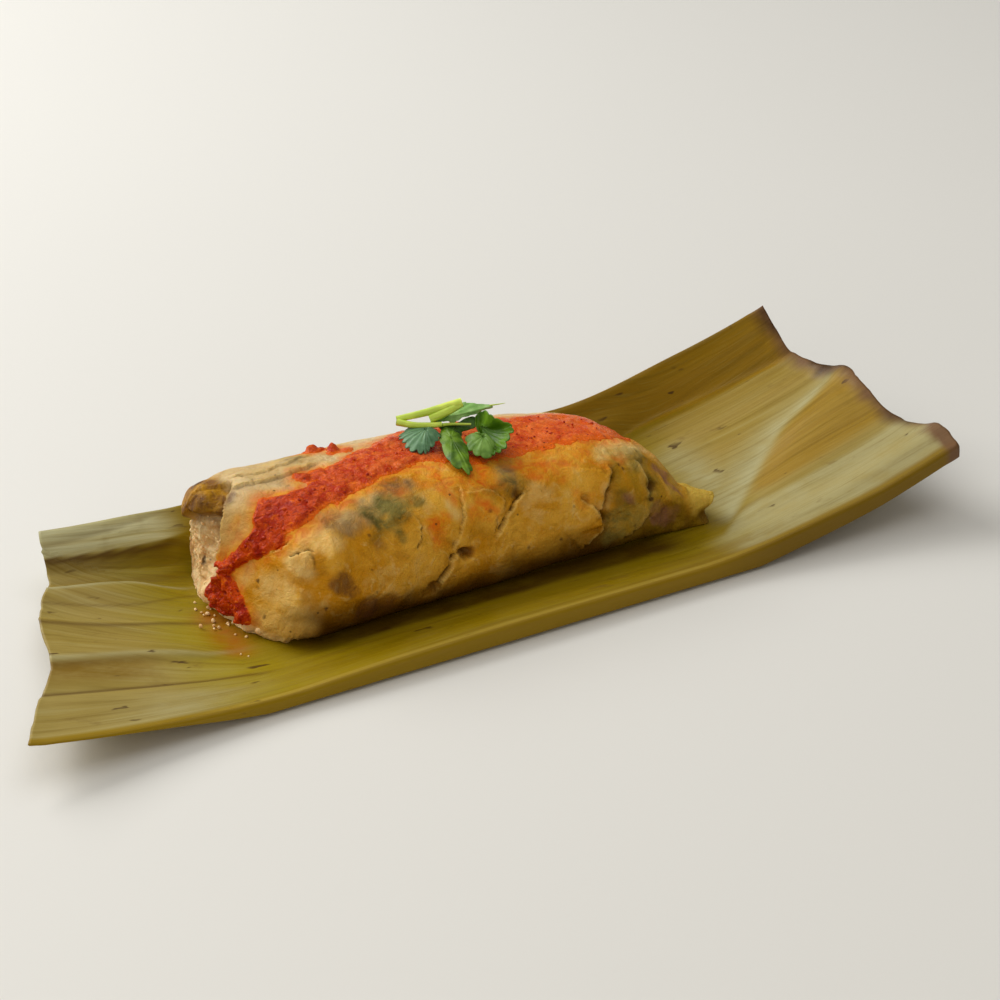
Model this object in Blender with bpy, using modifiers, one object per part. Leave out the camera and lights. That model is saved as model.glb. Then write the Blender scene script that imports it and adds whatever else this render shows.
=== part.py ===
"""A tamale unwrapped on its banana leaf, with salsa along its top and a sprig of coriander.

Lengths are in millimetres and are turned into metres as the meshes are made. X runs along the
tamale, the tamale's open end lies towards -X, the leaf's folded hem towards -Y, and the origin is
at the bottom centre of the whole.
"""

import math

import bmesh
import bpy
import numpy as np
from mathutils import Matrix, Vector
from mathutils.bvhtree import BVHTree

MM = 0.001

# The leaf: its length and width as it lies, and how far its ends and edges lift.
LEAF_LENGTH = 300.0
LEAF_FRONT = -48.0
LEAF_BACK = 47.0
LEAF_THICKNESS = 0.8
LEAF_LEFT_RISE = 14.0
LEAF_RIGHT_RISE = 20.5
LEAF_BACK_LIFT = 15.0
LEAF_FRONT_LIFT = 5.0
LEFT_CORNER_REACH = 1.2
LEFT_END_SLANT = 34.5
WING_SWEEP = 4.0

# The hem: the leaf's front edge folded down and back under itself.
HEM_RADIUS = 1.3
HEM_TUCK = 9.0
HEM_DEPTH = ((-150, 1.0), (-120, 2.0), (-90, 4.6), (-60, 7.0), (60, 8.2), (100, 7.0), (147, 6.0))

# The back wall: its lift, its foot, and the two places where its profile bends, as shares of its
# width and of its lift.
WALL_LIFT = ((-118, 0.8), (-90, 0.95), (-50, 1), (60, 1), (110, 0.92), (148, 0.92))
WALL_FOOT = ((-120, 31), (-80, 30), (-60, 33), (70, 37), (88, 40), (115, 38), (132, 36.5), (148, 34))
LOW_BEND_WIDTH = ((-120, 0.40), (-80, 0.26), (-55, 0.33), (148, 0.33))
LOW_BEND_LIFT = ((-120, 0.23), (-80, 0.20), (-55, 0.33), (148, 0.33))
HIGH_BEND_WIDTH = ((-120, 0.58), (-80, 0.46), (-55, 0.66), (148, 0.66))
HIGH_BEND_LIFT = ((-120, 0.50), (-80, 0.63), (-55, 0.66), (148, 0.66))

# The crests of the folds at the leaf's two ends, as (x, y) stations.
LEFT_RIDGE = ((-121, 30), (-104, 28.5), (-80, 23))
LEFT_PLEAT = ((-128, 15), (-110, 10), (-88, 6), (-78, 3))
LEFT_CREST = ((-134, -8), (-117, -9), (-103, -11), (-90, -15))
LEFT_GROOVE = ((-140, -24), (-118, -25), (-93, -28), (-80, -31))
RIGHT_CREASE = ((80, -24), (92, -15), (107, -4), (119, 4), (132, 9), (148, 16))
RIGHT_HUMP = ((76, -41), (148, -37))
RIGHT_END = ((-48, 148), (-34, 149.5), (-20, 146.5), (2, 147), (15, 149), (32, 145.5), (47, 142))

# The masa body: its two ends, and the place of its lowest face over the leaf.
MASA_LEFT = -79.0
MASA_RIGHT = 76.0
GAP = 0.3
MASA_BASE = LEAF_THICKNESS + GAP

# How square the masa's section is: 2 would be an ellipse.
MASA_SQUARENESS = 2.9

# How far around each point of the masa the leaf is felt for, so that their flat facets stay apart.
FACET_REACH = 3.0

# The salsa, a pulpy spread: its clearance over the masa, its depth, and the length of its path.
SALSA_CLEARANCE = 0.6
SALSA_DEPTH = 1.6
SALSA_LENGTH = 165.0

# The sprig: its clearance over the salsa and the thickness of its leaflets.
SPRIG_CLEARANCE = 0.5
LEAFLET_THICKNESS = 0.5


def smooth(t):
    """0 below t = 0, 1 above t = 1, and an even S between."""
    t = np.clip(t, 0.0, 1.0)
    return t * t * (3.0 - 2.0 * t)


def through(stations, x):
    """A smooth curve through (place, value) stations, level beyond the first and the last."""
    places = np.array([s[0] for s in stations], float)
    values = np.array([s[1] for s in stations], float)
    slopes = np.gradient(values, places)
    x = np.clip(x, places[0], places[-1])
    i = np.clip(np.searchsorted(places, x, side="right") - 1, 0, len(places) - 2)
    step = places[i + 1] - places[i]
    t = (x - places[i]) / step
    return (
        (2 * t**3 - 3 * t**2 + 1) * values[i]
        + (3 * t**2 - 2 * t**3) * values[i + 1]
        + (t**3 - 2 * t**2 + t) * step * slopes[i]
        + (t**3 - t**2) * step * slopes[i + 1]
    )


# ---------------------------------------------------------------- the leaf


def end_rise(distance, length, height):
    """A slow curve up from nothing: the sag of a leaf that overhangs."""
    return height * np.clip(distance / length, 0.0, None) ** 1.6


def leaf_floor(x):
    """The height of the leaf's middle: flat under the tamale, rising to both ends."""
    left = end_rise(-72.0 - x, 78.0, LEAF_LEFT_RISE)
    right = end_rise(x - 56.0, 92.0, LEAF_RIGHT_RISE)
    return LEAF_THICKNESS + left + right


def back_wall(x, y):
    """The lift of the back edge. Towards -X it is a strip, an upright step and a nearly level flap."""
    foot = through(WALL_FOOT, x)
    lift = LEAF_BACK_LIFT * through(WALL_LIFT, x)
    t = (y - foot) / (LEAF_BACK - foot)
    low_t, low = through(LOW_BEND_WIDTH, x), through(LOW_BEND_LIFT, x)
    high_t, high = through(HIGH_BEND_WIDTH, x), through(HIGH_BEND_LIFT, x)
    strip = low * t / low_t
    step = low + (high - low) * (t - low_t) / (high_t - low_t)
    flap = high + (1 - high) * (t - high_t) / (1 - high_t)
    return lift * np.maximum(np.where(t < low_t, strip, np.where(t < high_t, step, flap)), 0.0)


def front_rise(x, y):
    """The lift from the trough up to the hem's crease."""
    shares = [(-147, -0.25), (-100, 0.5), (-60, 0.95), (40, 1.1), (84, 1.0), (120, 0.6)]
    return LEAF_FRONT_LIFT * through(shares, x) * smooth((-19.0 - y) / 29.0)


def fold(across, height, back_width, front_width):
    """One lengthwise fold of the leaf, as its height at a distance across it."""
    width = np.where(across > 0, back_width, front_width)
    return height * np.exp(-((across / width) ** 2))


def leaf_top(x, y):
    """The height of the leaf's upper face."""
    z = leaf_floor(x) + back_wall(x, y) + front_rise(x, y)
    left = smooth((-80.0 - x) / 18.0)
    z = z + fold(y - through(LEFT_RIDGE, x), 2.8 * left, 2.2, 7.0)
    z = z + fold(y - through(LEFT_PLEAT, x), 1.0 * left, 1.5, 5.0)
    z = z + fold(y - through(LEFT_CREST, x), 1.6 * left, 9.0, 2.5)
    z = z + fold(y - through(LEFT_GROOVE, x), -0.7 * left, 4.0, 1.5)
    right = smooth((x - 78.0) / 62.0)
    crease = through(RIGHT_CREASE, x)
    z = z + fold(y - crease + 9.0, 4.4 * right, 11.0, 17.0)
    z = z + fold(y - crease - 4.0, -0.6 * right, 7.0, 7.0)
    return z + fold(y - through(RIGHT_HUMP, x), 2.5 * right, 5.0, 6.0)


def leaf_ends(y):
    """Where the leaf's two torn ends are, at a place across it."""
    across = np.clip((y - LEAF_FRONT) / (LEAF_BACK - LEAF_FRONT), 0.0, 1.0)
    left = -LEAF_LENGTH / 2 - LEFT_CORNER_REACH + LEFT_END_SLANT * across
    left = left + 2.4 * np.sin(math.pi * np.clip((47.0 - y) / 26.0, 0, 1)) ** 2
    left = left + 4.4 * np.sin(math.pi * np.clip((20.0 - y) / 62.0, 0, 1)) ** 2
    return left, through(RIGHT_END, y)


def hem_point(x, turn):
    """A point (y, z) on the hem, from the crease (turn 0) down the band and under it (turn 1)."""
    top = leaf_top(x, LEAF_FRONT + HEM_RADIUS)
    depth = through(HEM_DEPTH, x)
    bottom = np.maximum(top - depth, 0.0)
    radius = np.minimum(HEM_RADIUS, 0.45 * (top - bottom))
    wall = np.maximum(top - bottom - 2 * radius, 0.0)
    quarter = 0.5 * math.pi * radius
    run = turn * (2 * quarter + wall + HEM_TUCK)
    angle = np.clip(run / radius, 0, 0.5 * math.pi)
    low = np.clip((run - quarter - wall) / radius, 0, 0.5 * math.pi)
    drop = np.clip(run - quarter, 0, wall)
    tuck = np.clip(run - 2 * quarter - wall, 0, HEM_TUCK)
    y = LEAF_FRONT + radius * (1 - np.sin(angle)) + radius * (1 - np.cos(low)) + tuck
    z = top - radius * (1 - np.cos(angle)) - drop - radius * np.sin(low)
    return y, z


def grid_mesh(name, columns, rows, place):
    """An open sheet of columns by rows quads, each corner put where place(u, v) says."""
    bm = bmesh.new()
    bmesh.ops.create_grid(bm, x_segments=columns, y_segments=rows, size=0.5)
    for v in bm.verts:
        v.co = Vector(place(v.co.x + 0.5, v.co.y + 0.5)) * MM
    mesh = bpy.data.meshes.new(name)
    bm.to_mesh(mesh)
    bm.free()
    return mesh


def leaf_point(u, v):
    """v runs from the tucked hem (0), over the crease, to the back edge (1); u from end to end."""
    hem_share = 0.3
    crease = LEAF_FRONT + HEM_RADIUS
    if v < hem_share:
        left, right = leaf_ends(LEAF_FRONT + 1.5 * HEM_TUCK * (1 - v / hem_share))
        x = left + (right - left) * u
        y, z = hem_point(x, 1 - v / hem_share)
    else:
        y = crease + (LEAF_BACK - crease) * (v - hem_share) / (1 - hem_share)
        left, right = leaf_ends(y)
        x = left + (right - left) * u
        z = leaf_top(x, y)
        wing = float(smooth((x - 60.0) / 50.0) * smooth((y - 20.0) / 27.0))
        y = y + WING_SWEEP * wing
    return float(x), float(y), float(z)


def make_leaf(material):
    mesh = grid_mesh("banana_leaf", 38, 30, leaf_point)
    leaf = add_object("banana_leaf", mesh, material)
    shell = leaf.modifiers.new("Thickness", "SOLIDIFY")
    shell.thickness = LEAF_THICKNESS * MM
    shell.offset = -1.0
    return leaf


# ---------------------------------------------------------------- the masa


def masa_front(x):
    return through([(-80, -19), (-66, -23), (-40, -22.5), (20, -20.5), (60, -20), (74, -20)], x)


def masa_back(x):
    sides = [(-80, 37), (-66, 39), (-40, 37), (10, 33), (35, 30), (52, 23), (62, 9), (70, -6), (74, -11)]
    return through(sides, x)


def masa_height(x):
    return through([(-80, 29), (-70, 33), (-55, 34), (10, 33), (40, 31), (54, 27), (64, 19), (74, 9)], x)


def masa_lean(x):
    """How far back the top of a section stands from its base."""
    return through([(-80, 4), (40, 5), (74, 1)], x)


def masa_point(share, angle):
    """share runs 0 to 1 from the open end's middle to the tip; angle 0 looks back, pi/2 up."""
    cap = 0.1
    tip_cap = 0.05
    if share < cap:
        size = math.sin(0.5 * math.pi * share / cap) ** 0.8
        x = MASA_LEFT + 3.0 * (1 - math.sqrt(max(0.0, 1 - size**6)))
    elif share > 1 - tip_cap:
        size = math.sin(0.5 * math.pi * (1 - share) / tip_cap) ** 0.8
        x = MASA_RIGHT - 1.5 * (1 - math.sqrt(max(0.0, 1 - size**4)))
    else:
        size = 1.0
        along = (share - cap) / (1 - cap - tip_cap)
        x = MASA_LEFT + 3.0 + (MASA_RIGHT - 1.5 - MASA_LEFT - 3.0) * along
    front, back, height = (float(f(x)) for f in (masa_front, masa_back, masa_height))
    c, s = math.cos(angle), math.sin(angle)
    power = 2 / MASA_SQUARENESS
    across = math.copysign(abs(c) ** power, c) * size
    up = math.copysign(abs(s) ** power, s) * size
    y = (front + back) / 2 + across * (back - front) / 2 + up * float(masa_lean(x)) / 2
    bulge = 1.12
    z = MASA_BASE + height / 2 + up * bulge * height / 2 - (bulge - 1) * height / 2
    near = float(smooth((-45.0 - x) / 35.0))
    slant = (4.5 + 10.5 * float(smooth((20.0 - y) / 30.0))) * max(0.0, (z - 6.0) / 26.0) ** 1.3
    bevel = 3.0 * float(smooth((-4.0 - y) / 16.0)) + max(-0.2 * (y - 16.0), 0.1 * (y - 34.0))
    x = x + near * (slant + bevel)
    around = ((0, 0), (0, FACET_REACH), (0, -FACET_REACH), (-FACET_REACH, 0))
    under = max(float(leaf_top(x + dx, y + dy)) for dx, dy in around) - LEAF_THICKNESS
    floor = MASA_BASE + under
    return x, y, max(z, floor)


def make_masa(material):
    rings, segments = 40, 28
    bm = bmesh.new()
    bmesh.ops.create_uvsphere(bm, u_segments=segments, v_segments=rings, radius=1.0)
    for v in bm.verts:
        latitude = math.acos(max(-1.0, min(1.0, -v.co.z)))
        angle = math.atan2(v.co.y, v.co.x)
        v.co = Vector(masa_point(latitude / math.pi, angle)) * MM
    mesh = bpy.data.meshes.new("masa")
    bm.to_mesh(mesh)
    bm.free()
    mesh.shade_smooth()
    return add_object("masa", mesh, material)


# ---------------------------------------------------------------- the salsa


# The middle of the spread, at distances along it from the foot of the open end, and its half-width.
SALSA_X = ((0, -77), (9, -76), (20, -73), (30, -67), (38, -60), (48, -50), (100, 2), (165, 61))
SALSA_Y = (
    (0, -4), (9, 0), (20, -1), (30, -5.5), (38, -4),
    (60, 2.8), (105, 14.5), (125, 9), (150, 6), (165, 1),
)
SALSA_Z = ((0, 4), (9, 11), (20, 22), (30, 30), (38, 34), (60, 37), (130, 35), (150, 31), (165, 22))
SALSA_HALF = (
    (0, 2.5), (7, 5), (14, 4), (20, 2.6), (30, 5), (38, 8.5), (50, 9.5),
    (60, 8.2), (80, 9.5), (105, 13), (145, 10), (158, 4.5), (165, 1.5),
)


def salsa_path(run):
    """The middle of the spread and its half-width, at a distance run along it."""
    here = np.array([through(SALSA_X, run), through(SALSA_Y, run), through(SALSA_Z, run)])
    return here, float(through(SALSA_HALF, run))


def salsa_point(u, v):
    run = SALSA_LENGTH * u
    here, half = salsa_path(run)
    ahead, _ = salsa_path(run + 1.0)
    behind, _ = salsa_path(run - 1.0)
    along = ahead - behind
    level = math.hypot(along[0], along[1])
    across = np.array([-along[1], along[0], 0.0]) / level
    wander = 1.0 + 0.12 * math.sin(0.55 * run + 2.0 * v)
    return here + across * (2.0 * v - 1.0) * half * wander


def make_salsa(material, masa):
    mesh = grid_mesh("salsa", 40, 6, salsa_point)
    salsa = add_object("salsa", mesh, material)
    wrap = salsa.modifiers.new("Lie on the masa", "SHRINKWRAP")
    wrap.target = masa
    wrap.wrap_method = "NEAREST_SURFACEPOINT"
    wrap.wrap_mode = "ABOVE_SURFACE"
    wrap.offset = SALSA_CLEARANCE * MM
    shell = salsa.modifiers.new("Depth", "SOLIDIFY")
    shell.thickness = SALSA_DEPTH * MM
    shell.offset = 1.0
    return salsa


# ---------------------------------------------------------------- the sprig


def sprig_bed(masa):
    """A function that gives the height at which the sprig lies clear of the masa and the salsa."""
    tree = BVHTree.FromObject(masa, bpy.context.evaluated_depsgraph_get())

    def bed(x, y):
        hit = tree.ray_cast(Vector((x, y, 100.0)) * MM, Vector((0, 0, -1)))[0]
        return hit.z / MM + SALSA_CLEARANCE + SALSA_DEPTH + SPRIG_CLEARANCE

    return bed


def lobed_radius(turn, lobes, depth):
    """The edge of a coriander leaflet: rounded teeth, with deeper notches between the lobes."""
    tooth = abs(math.sin(lobes * turn))
    notch = abs(math.cos(1.5 * turn))
    return (1.0 - depth + depth * tooth**0.5) * (0.84 + 0.16 * notch)


def make_leaflet(name, root, tip, spread, lobes, lifts, bed, material):
    """A thin leaflet from its root towards its tip; lifts are the heights of its root, sides and tip."""
    root, tip = Vector(root), Vector(tip)
    axis = tip - root
    length = axis.length
    axis.normalize()
    side = Vector((-axis.y, axis.x))
    reach = math.radians(spread)

    def place(u, v):
        turn = (2.0 * v - 1.0) * reach
        edge = length * lobed_radius(turn, lobes, 0.16) * (1.0 - 0.22 * (turn / reach) ** 2)
        radius = 0.9 + (edge - 0.9) * u
        along, across = radius * math.cos(turn), radius * math.sin(turn)
        spot = root + axis * along + side * across
        start, sides, end = lifts
        lift = start + (end - start) * (along / length) + sides * (across / length) ** 2
        return spot.x, spot.y, bed(spot.x, spot.y) + lift

    leaflet = add_object(name, grid_mesh(name, 4, 12, place), material, "cutters")
    shell = leaflet.modifiers.new("Thickness", "SOLIDIFY")
    shell.thickness = LEAFLET_THICKNESS * MM
    shell.offset = 1.0
    return leaflet


def make_stem(name, points, radius, material, collection="cutters"):
    """A round stem along a smooth curve through the points."""
    curve = bpy.data.curves.new(name, "CURVE")
    curve.dimensions = "3D"
    curve.bevel_depth = radius * MM
    curve.bevel_resolution = 1
    curve.resolution_u = 2
    curve.use_fill_caps = True
    line = curve.splines.new("BEZIER")
    line.bezier_points.add(len(points) - 1)
    for knot, point in zip(line.bezier_points, points):
        knot.co = Vector(point) * MM
        knot.handle_left_type = knot.handle_right_type = "AUTO"
    held = bpy.data.objects.new(name, curve)
    bpy.context.scene.collection.objects.link(held)
    mesh = bpy.data.meshes.new_from_object(held.evaluated_get(bpy.context.evaluated_depsgraph_get()))
    bpy.data.objects.remove(held)
    mesh.materials.clear()
    return add_object(name, mesh, material, collection)


def make_sprig(material, masa):
    """Stems and leaflets joined at one hub into a single sprig."""
    bed = sprig_bed(masa)

    def over(x, y, lift):
        return x, y, bed(x, y) + lift

    hub = over(3.5, 13.5, 0.9)
    low_stem = [over(-10, 24.5, 1.5), over(-3, 19.5, 1.3), hub]
    sprig = make_stem("coriander_sprig", low_stem, 0.8, material, "tamale")
    make_stem("long_stem", [over(-9.6, 25.1, 1.7), over(2, 24, 3.4), over(13, 22.0, 4.6)], 0.8, material)
    make_stem("cut_stem", [over(0.5, 15.8, 1.0), over(5, 18, 3.2), over(12.4, 21.3, 5.2)], 0.9, material)
    ribs = {
        "left": ((1.6, 14.4), (-14.0, 7.2), 58, 5, (0.6, -0.6, 0.5)),
        "back": ((3.0, 15.5), (20.5, 19.0), 24, 4, (1.6, 1.0, 3.4)),
        "big": ((5.5, 11.0), (13.0, -5.5), 62, 5, (0.3, 7.0, 0.6)),
        "down": ((2.6, 12.0), (-4.4, -9.5), 14, 3, (0.5, -1.0, -0.2)),
    }
    for name, (root, tip, spread, lobes, lifts) in ribs.items():
        make_leaflet(name + "_leaflet", root, tip, spread, lobes, lifts, bed, material)
        near = Vector(root).lerp(Vector(tip), 0.12)
        half = Vector(root).lerp(Vector(tip), 0.4)
        inner = over(*near, lifts[0] + 0.12 * (lifts[2] - lifts[0]) + 0.4)
        outer = over(*half, lifts[0] + 0.4 * (lifts[2] - lifts[0]) + 0.3)
        make_stem(name + "_rib", [hub, inner, outer], 0.5, material)
    join = sprig.modifiers.new("Join", "BOOLEAN")
    join.operation = "UNION"
    join.solver = "EXACT"
    join.use_self = True
    join.operand_type = "COLLECTION"
    join.collection = bpy.data.collections["cutters"]
    return sprig


# ---------------------------------------------------------------- materials and assembly


def make_material(name, colour, roughness):
    material = bpy.data.materials.new(name)
    material.use_nodes = True
    shader = material.node_tree.nodes["Principled BSDF"]
    shader.inputs["Base Color"].default_value = (*colour, 1.0)
    shader.inputs["Roughness"].default_value = roughness
    shader.inputs["Metallic"].default_value = 0.0
    return material


def add_object(name, mesh, material, collection="tamale"):
    made = bpy.data.objects.new(name, mesh)
    mesh.materials.append(material)
    bpy.data.collections[collection].objects.link(made)
    if collection == "cutters":
        made.hide_render = True
        made.display_type = "WIRE"
    return made


def clear_scene():
    for old in list(bpy.data.objects):
        bpy.data.objects.remove(old)
    for old in list(bpy.data.collections):
        bpy.data.collections.remove(old)


def move_origin(leaf):
    """Shift every mesh so that the origin is under the middle of the leaf, which bounds the whole."""
    finished = leaf.evaluated_get(bpy.context.evaluated_depsgraph_get())
    corners = [Vector(corner) for corner in finished.bound_box]
    middle_x = (min(c.x for c in corners) + max(c.x for c in corners)) / 2
    middle_y = (min(c.y for c in corners) + max(c.y for c in corners)) / 2
    lowest = min(c.z for c in corners)
    for made in bpy.data.objects:
        made.data.transform(Matrix.Translation((-middle_x, -middle_y, -lowest)))


def main():
    clear_scene()
    for name in ("tamale", "cutters"):
        bpy.context.scene.collection.children.link(bpy.data.collections.new(name))
    leaf = make_leaf(make_material("leaf", (0.23, 0.19, 0.03), 0.45))
    masa = make_masa(make_material("masa", (0.62, 0.40, 0.13), 0.5))
    make_salsa(make_material("salsa", (0.60, 0.08, 0.01), 0.3), masa)
    make_sprig(make_material("coriander", (0.10, 0.24, 0.05), 0.5), masa)
    move_origin(leaf)


main()
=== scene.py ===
"""The looks of a tamale lying on its opened banana leaf, with salsa and a coriander sprig.

Lengths in the making are in millimetres, in the layout of the leaf: X along it, Y from the folded
hem to the raised back edge, Z up from the table. make_piece moves them to the part's origin, in metres.
"""

import math

import bpy
import numpy as np
from bpy.props import FloatProperty, FloatVectorProperty, PointerProperty
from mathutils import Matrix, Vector
from mathutils.bvhtree import BVHTree


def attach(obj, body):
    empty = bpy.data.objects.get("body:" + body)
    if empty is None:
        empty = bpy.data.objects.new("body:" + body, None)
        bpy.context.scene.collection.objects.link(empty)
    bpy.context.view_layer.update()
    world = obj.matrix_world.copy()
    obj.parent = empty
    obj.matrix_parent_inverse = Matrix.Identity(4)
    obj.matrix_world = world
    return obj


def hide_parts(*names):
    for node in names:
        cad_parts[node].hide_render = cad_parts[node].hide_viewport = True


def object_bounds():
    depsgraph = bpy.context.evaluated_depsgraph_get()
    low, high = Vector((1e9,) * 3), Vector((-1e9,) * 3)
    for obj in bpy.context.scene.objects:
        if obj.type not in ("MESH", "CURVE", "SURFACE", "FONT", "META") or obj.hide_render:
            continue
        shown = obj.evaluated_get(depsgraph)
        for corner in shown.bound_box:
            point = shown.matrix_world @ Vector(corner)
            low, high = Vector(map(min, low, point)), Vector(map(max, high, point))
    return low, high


bl_info = {
    "name": "Tamale on a banana leaf",
    "version": (1, 0, 0),
    "blender": (4, 5, 0),
    "location": "3D View > Sidebar > Tamale",
    "description": "Builds a steamed tamale, its leaf, the salsa on it and a coriander sprig",
    "category": "Object",
}

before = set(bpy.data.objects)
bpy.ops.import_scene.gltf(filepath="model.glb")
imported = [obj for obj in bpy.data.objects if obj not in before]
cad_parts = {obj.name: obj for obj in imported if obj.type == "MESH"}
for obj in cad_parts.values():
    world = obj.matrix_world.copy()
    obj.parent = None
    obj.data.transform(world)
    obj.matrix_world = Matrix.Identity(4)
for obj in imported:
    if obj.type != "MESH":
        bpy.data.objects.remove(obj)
CAD_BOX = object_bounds()

MM = 0.001

# The layout's middle, which lies at the part's origin, and the place that the camera looks at.
LAYOUT_MIDDLE = np.array([-0.6, 1.83, 0.0])
CAMERA_TARGET = Vector((13.0, 1.0, 17.0))

LEAF_FRONT = -48.0
LEAF_BACK = 47.0
LEAF_HALF = 150.0
LEAF_SHEET = 0.8
LEAF_FLAT_FROM = -72.0
LEAF_FLAT_TO = 56.0
LEAF_LEFT_RUN = 78.0
LEAF_RIGHT_RUN = 92.0
LEAF_LEFT_RISE = 14.0
LEAF_RIGHT_RISE = 20.5
LEAF_BACK_LIFT = 15.0
LEAF_FRONT_LIFT = 5.0
LEFT_CORNER_REACH = 1.2
LEFT_END_SLANT = 34.5
WING_SWEEP = 4.0
HEM_RADIUS = 1.3
HEM_TUCK = 9.0
HEM_SHARE = 0.24

MASA_LEFT = -79.0
MASA_RIGHT = 76.0
MASA_BASE = 1.1
MASA_SQUARENESS = 2.9
# The masa's sides, its height and how far its top leans back, each at places along it.
MASA_FRONT = ((-80, -19), (-66, -23), (-40, -22.5), (20, -20.5), (60, -20), (74, -20))
MASA_BACK = ((-80, 37), (-66, 39), (-40, 37), (10, 33), (35, 30), (52, 23), (62, 9), (70, -6), (74, -11))
MASA_HEIGHT = ((-80, 29), (-70, 33), (-55, 34), (10, 33), (40, 31), (54, 27), (64, 19), (74, 9))
MASA_LEAN = ((-80, 4), (40, 5), (74, 1))

# How far the masa and the salsa stay above the leaf, the leaflets' thickness and their gap below.
SKIN_GAP = 0.15
SALSA_GAP = 0.35
LEAFLET_SHEET = 0.28
LEAFLET_GAP = 0.45

# ------------------------------------------------------------ shaping helpers


def smooth(t):
    """A soft step from 0 to 1 as t goes from 0 to 1."""
    t = np.clip(t, 0.0, 1.0)
    return t * t * (3.0 - 2.0 * t)


def bell(distance, width):
    """1 where the distance is zero, fading to both sides over about the width."""
    return np.exp(-((distance / width) ** 2))


def strongest(*marks):
    """The strongest of the marks at each point, kept between 0 and 1."""
    return np.clip(np.maximum.reduce(marks), 0, 1)


def through(stations, x):
    """A smooth curve through (place, value) stations, level beyond the first and the last."""
    places = np.array([s[0] for s in stations], float)
    values = np.array([s[1] for s in stations], float)
    slopes = np.gradient(values, places)
    x = np.clip(x, places[0], places[-1])
    i = np.clip(np.searchsorted(places, x, side="right") - 1, 0, len(places) - 2)
    step = places[i + 1] - places[i]
    t = (x - places[i]) / step
    return (
        (2 * t**3 - 3 * t**2 + 1) * values[i]
        + (3 * t**2 - 2 * t**3) * values[i + 1]
        + (t**3 - 2 * t**2 + t) * step * slopes[i]
        + (t**3 - t**2) * step * slopes[i + 1]
    )


def corner_value(i, j, k, seed):
    """A repeatable number from 0 to 1 for each corner of a lattice."""
    mixed = (i * 73856093) ^ (j * 19349663) ^ (k * 83492791) ^ (seed * 26544357 + 977)
    mixed = (mixed ^ (mixed >> 13)) * 1274126177
    mixed = (mixed ^ (mixed >> 16)) * 668265263
    return ((mixed >> 11) & 0xFFFFF) / float(0xFFFFF)


def cloud(points, size, seed):
    """Soft unevenness from -1 to 1 whose lumps are about size across."""
    p = np.asarray(points, float) / size + 100.0
    base = np.floor(p).astype(np.int64)
    f = smooth(p - base)
    total = np.zeros(p.shape[:-1])
    for dx in (0, 1):
        for dy in (0, 1):
            for dz in (0, 1):
                weight = (
                    (f[..., 0] if dx else 1 - f[..., 0])
                    * (f[..., 1] if dy else 1 - f[..., 1])
                    * (f[..., 2] if dz else 1 - f[..., 2])
                )
                total += weight * corner_value(base[..., 0] + dx, base[..., 1] + dy, base[..., 2] + dz, seed)
    return 2.0 * total - 1.0


def layers(points, size, seed, count=3, fade=0.5):
    """Several clouds, each half the size of the one before and weaker."""
    total, weight, norm = 0.0, 1.0, 0.0
    for octave in range(count):
        total = total + weight * cloud(points, size * 0.5**octave, seed + 31 * octave)
        norm += weight
        weight *= fade
    return total / norm


def cells(points, size, seed):
    """The distance to the nearest grain's middle, in grain sizes, and that grain's number."""
    p = np.asarray(points, float) / size + 100.0
    base = np.floor(p).astype(np.int64)
    nearest = np.full(p.shape[:-1], 9.0)
    number = np.zeros(p.shape[:-1])
    for dx in (-1, 0, 1):
        for dy in (-1, 0, 1):
            for dz in (-1, 0, 1):
                i, j, k = base[..., 0] + dx, base[..., 1] + dy, base[..., 2] + dz
                middle = np.stack([i, j, k], -1) + 0.15 + 0.7 * np.stack(
                    [corner_value(i, j, k, seed + n) for n in (1, 2, 3)], -1
                )
                away = np.linalg.norm(p - middle, axis=-1)
                closer = away < nearest
                nearest = np.where(closer, away, nearest)
                number = np.where(closer, corner_value(i, j, k, seed + 4), number)
    return nearest, number


def spot_mask(points, spots, softness, wander, seed):
    """How strongly each point lies in any of the spots, each (x, y, z, radius, strength)."""
    shifted = points + wander * np.stack([layers(points, 5.0, seed + n, 2) for n in (1, 2, 3)], -1)
    total = np.zeros(points.shape[:-1])
    for x, y, z, radius, strength in spots:
        away = np.linalg.norm(shifted - np.array([x, y, z]), axis=-1)
        total = np.maximum(total, strength * smooth((radius - away) / softness + 0.5))
    return total


def ragged_path(path, raggedness, seed, step=0.5):
    """The path's corners joined by points a step apart and shaken a little."""
    corners = np.array(path, float)
    made = [corners[:1]]
    for a, b in zip(corners[:-1], corners[1:]):
        count = max(2, int(np.linalg.norm(b - a) / step))
        made.append(a + (b - a) * np.linspace(0, 1, count + 1)[1:, None])
    points = np.concatenate(made)
    shake = np.stack([layers(points, 3.0, seed + n, 2) for n in (1, 2, 3)], -1)
    return points + raggedness * shake


def across_path(points, normals, path):
    """The signed distance across a path on the surface, and the place along it from 0 to 1."""
    low, high = path.min(0) - 7.0, path.max(0) + 7.0
    near = np.all((points > low) & (points < high), axis=-1)
    across = np.full(points.shape[:-1], 99.0)
    along = np.zeros(points.shape[:-1])
    p, n = points[near], normals[near]
    if len(p) == 0:
        return across, along
    away = np.linalg.norm(p[:, None] - path[None], axis=-1)
    index = away.argmin(1)
    tangent = np.gradient(path, axis=0)
    tangent /= np.linalg.norm(tangent, axis=-1, keepdims=True) + 1e-9
    side = np.einsum("ij,ij->i", np.cross(tangent[index], n), p - path[index])
    across[near] = away[np.arange(len(p)), index] * np.where(side >= 0, 1, -1)
    along[near] = index / (len(path) - 1)
    return across, along


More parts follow.
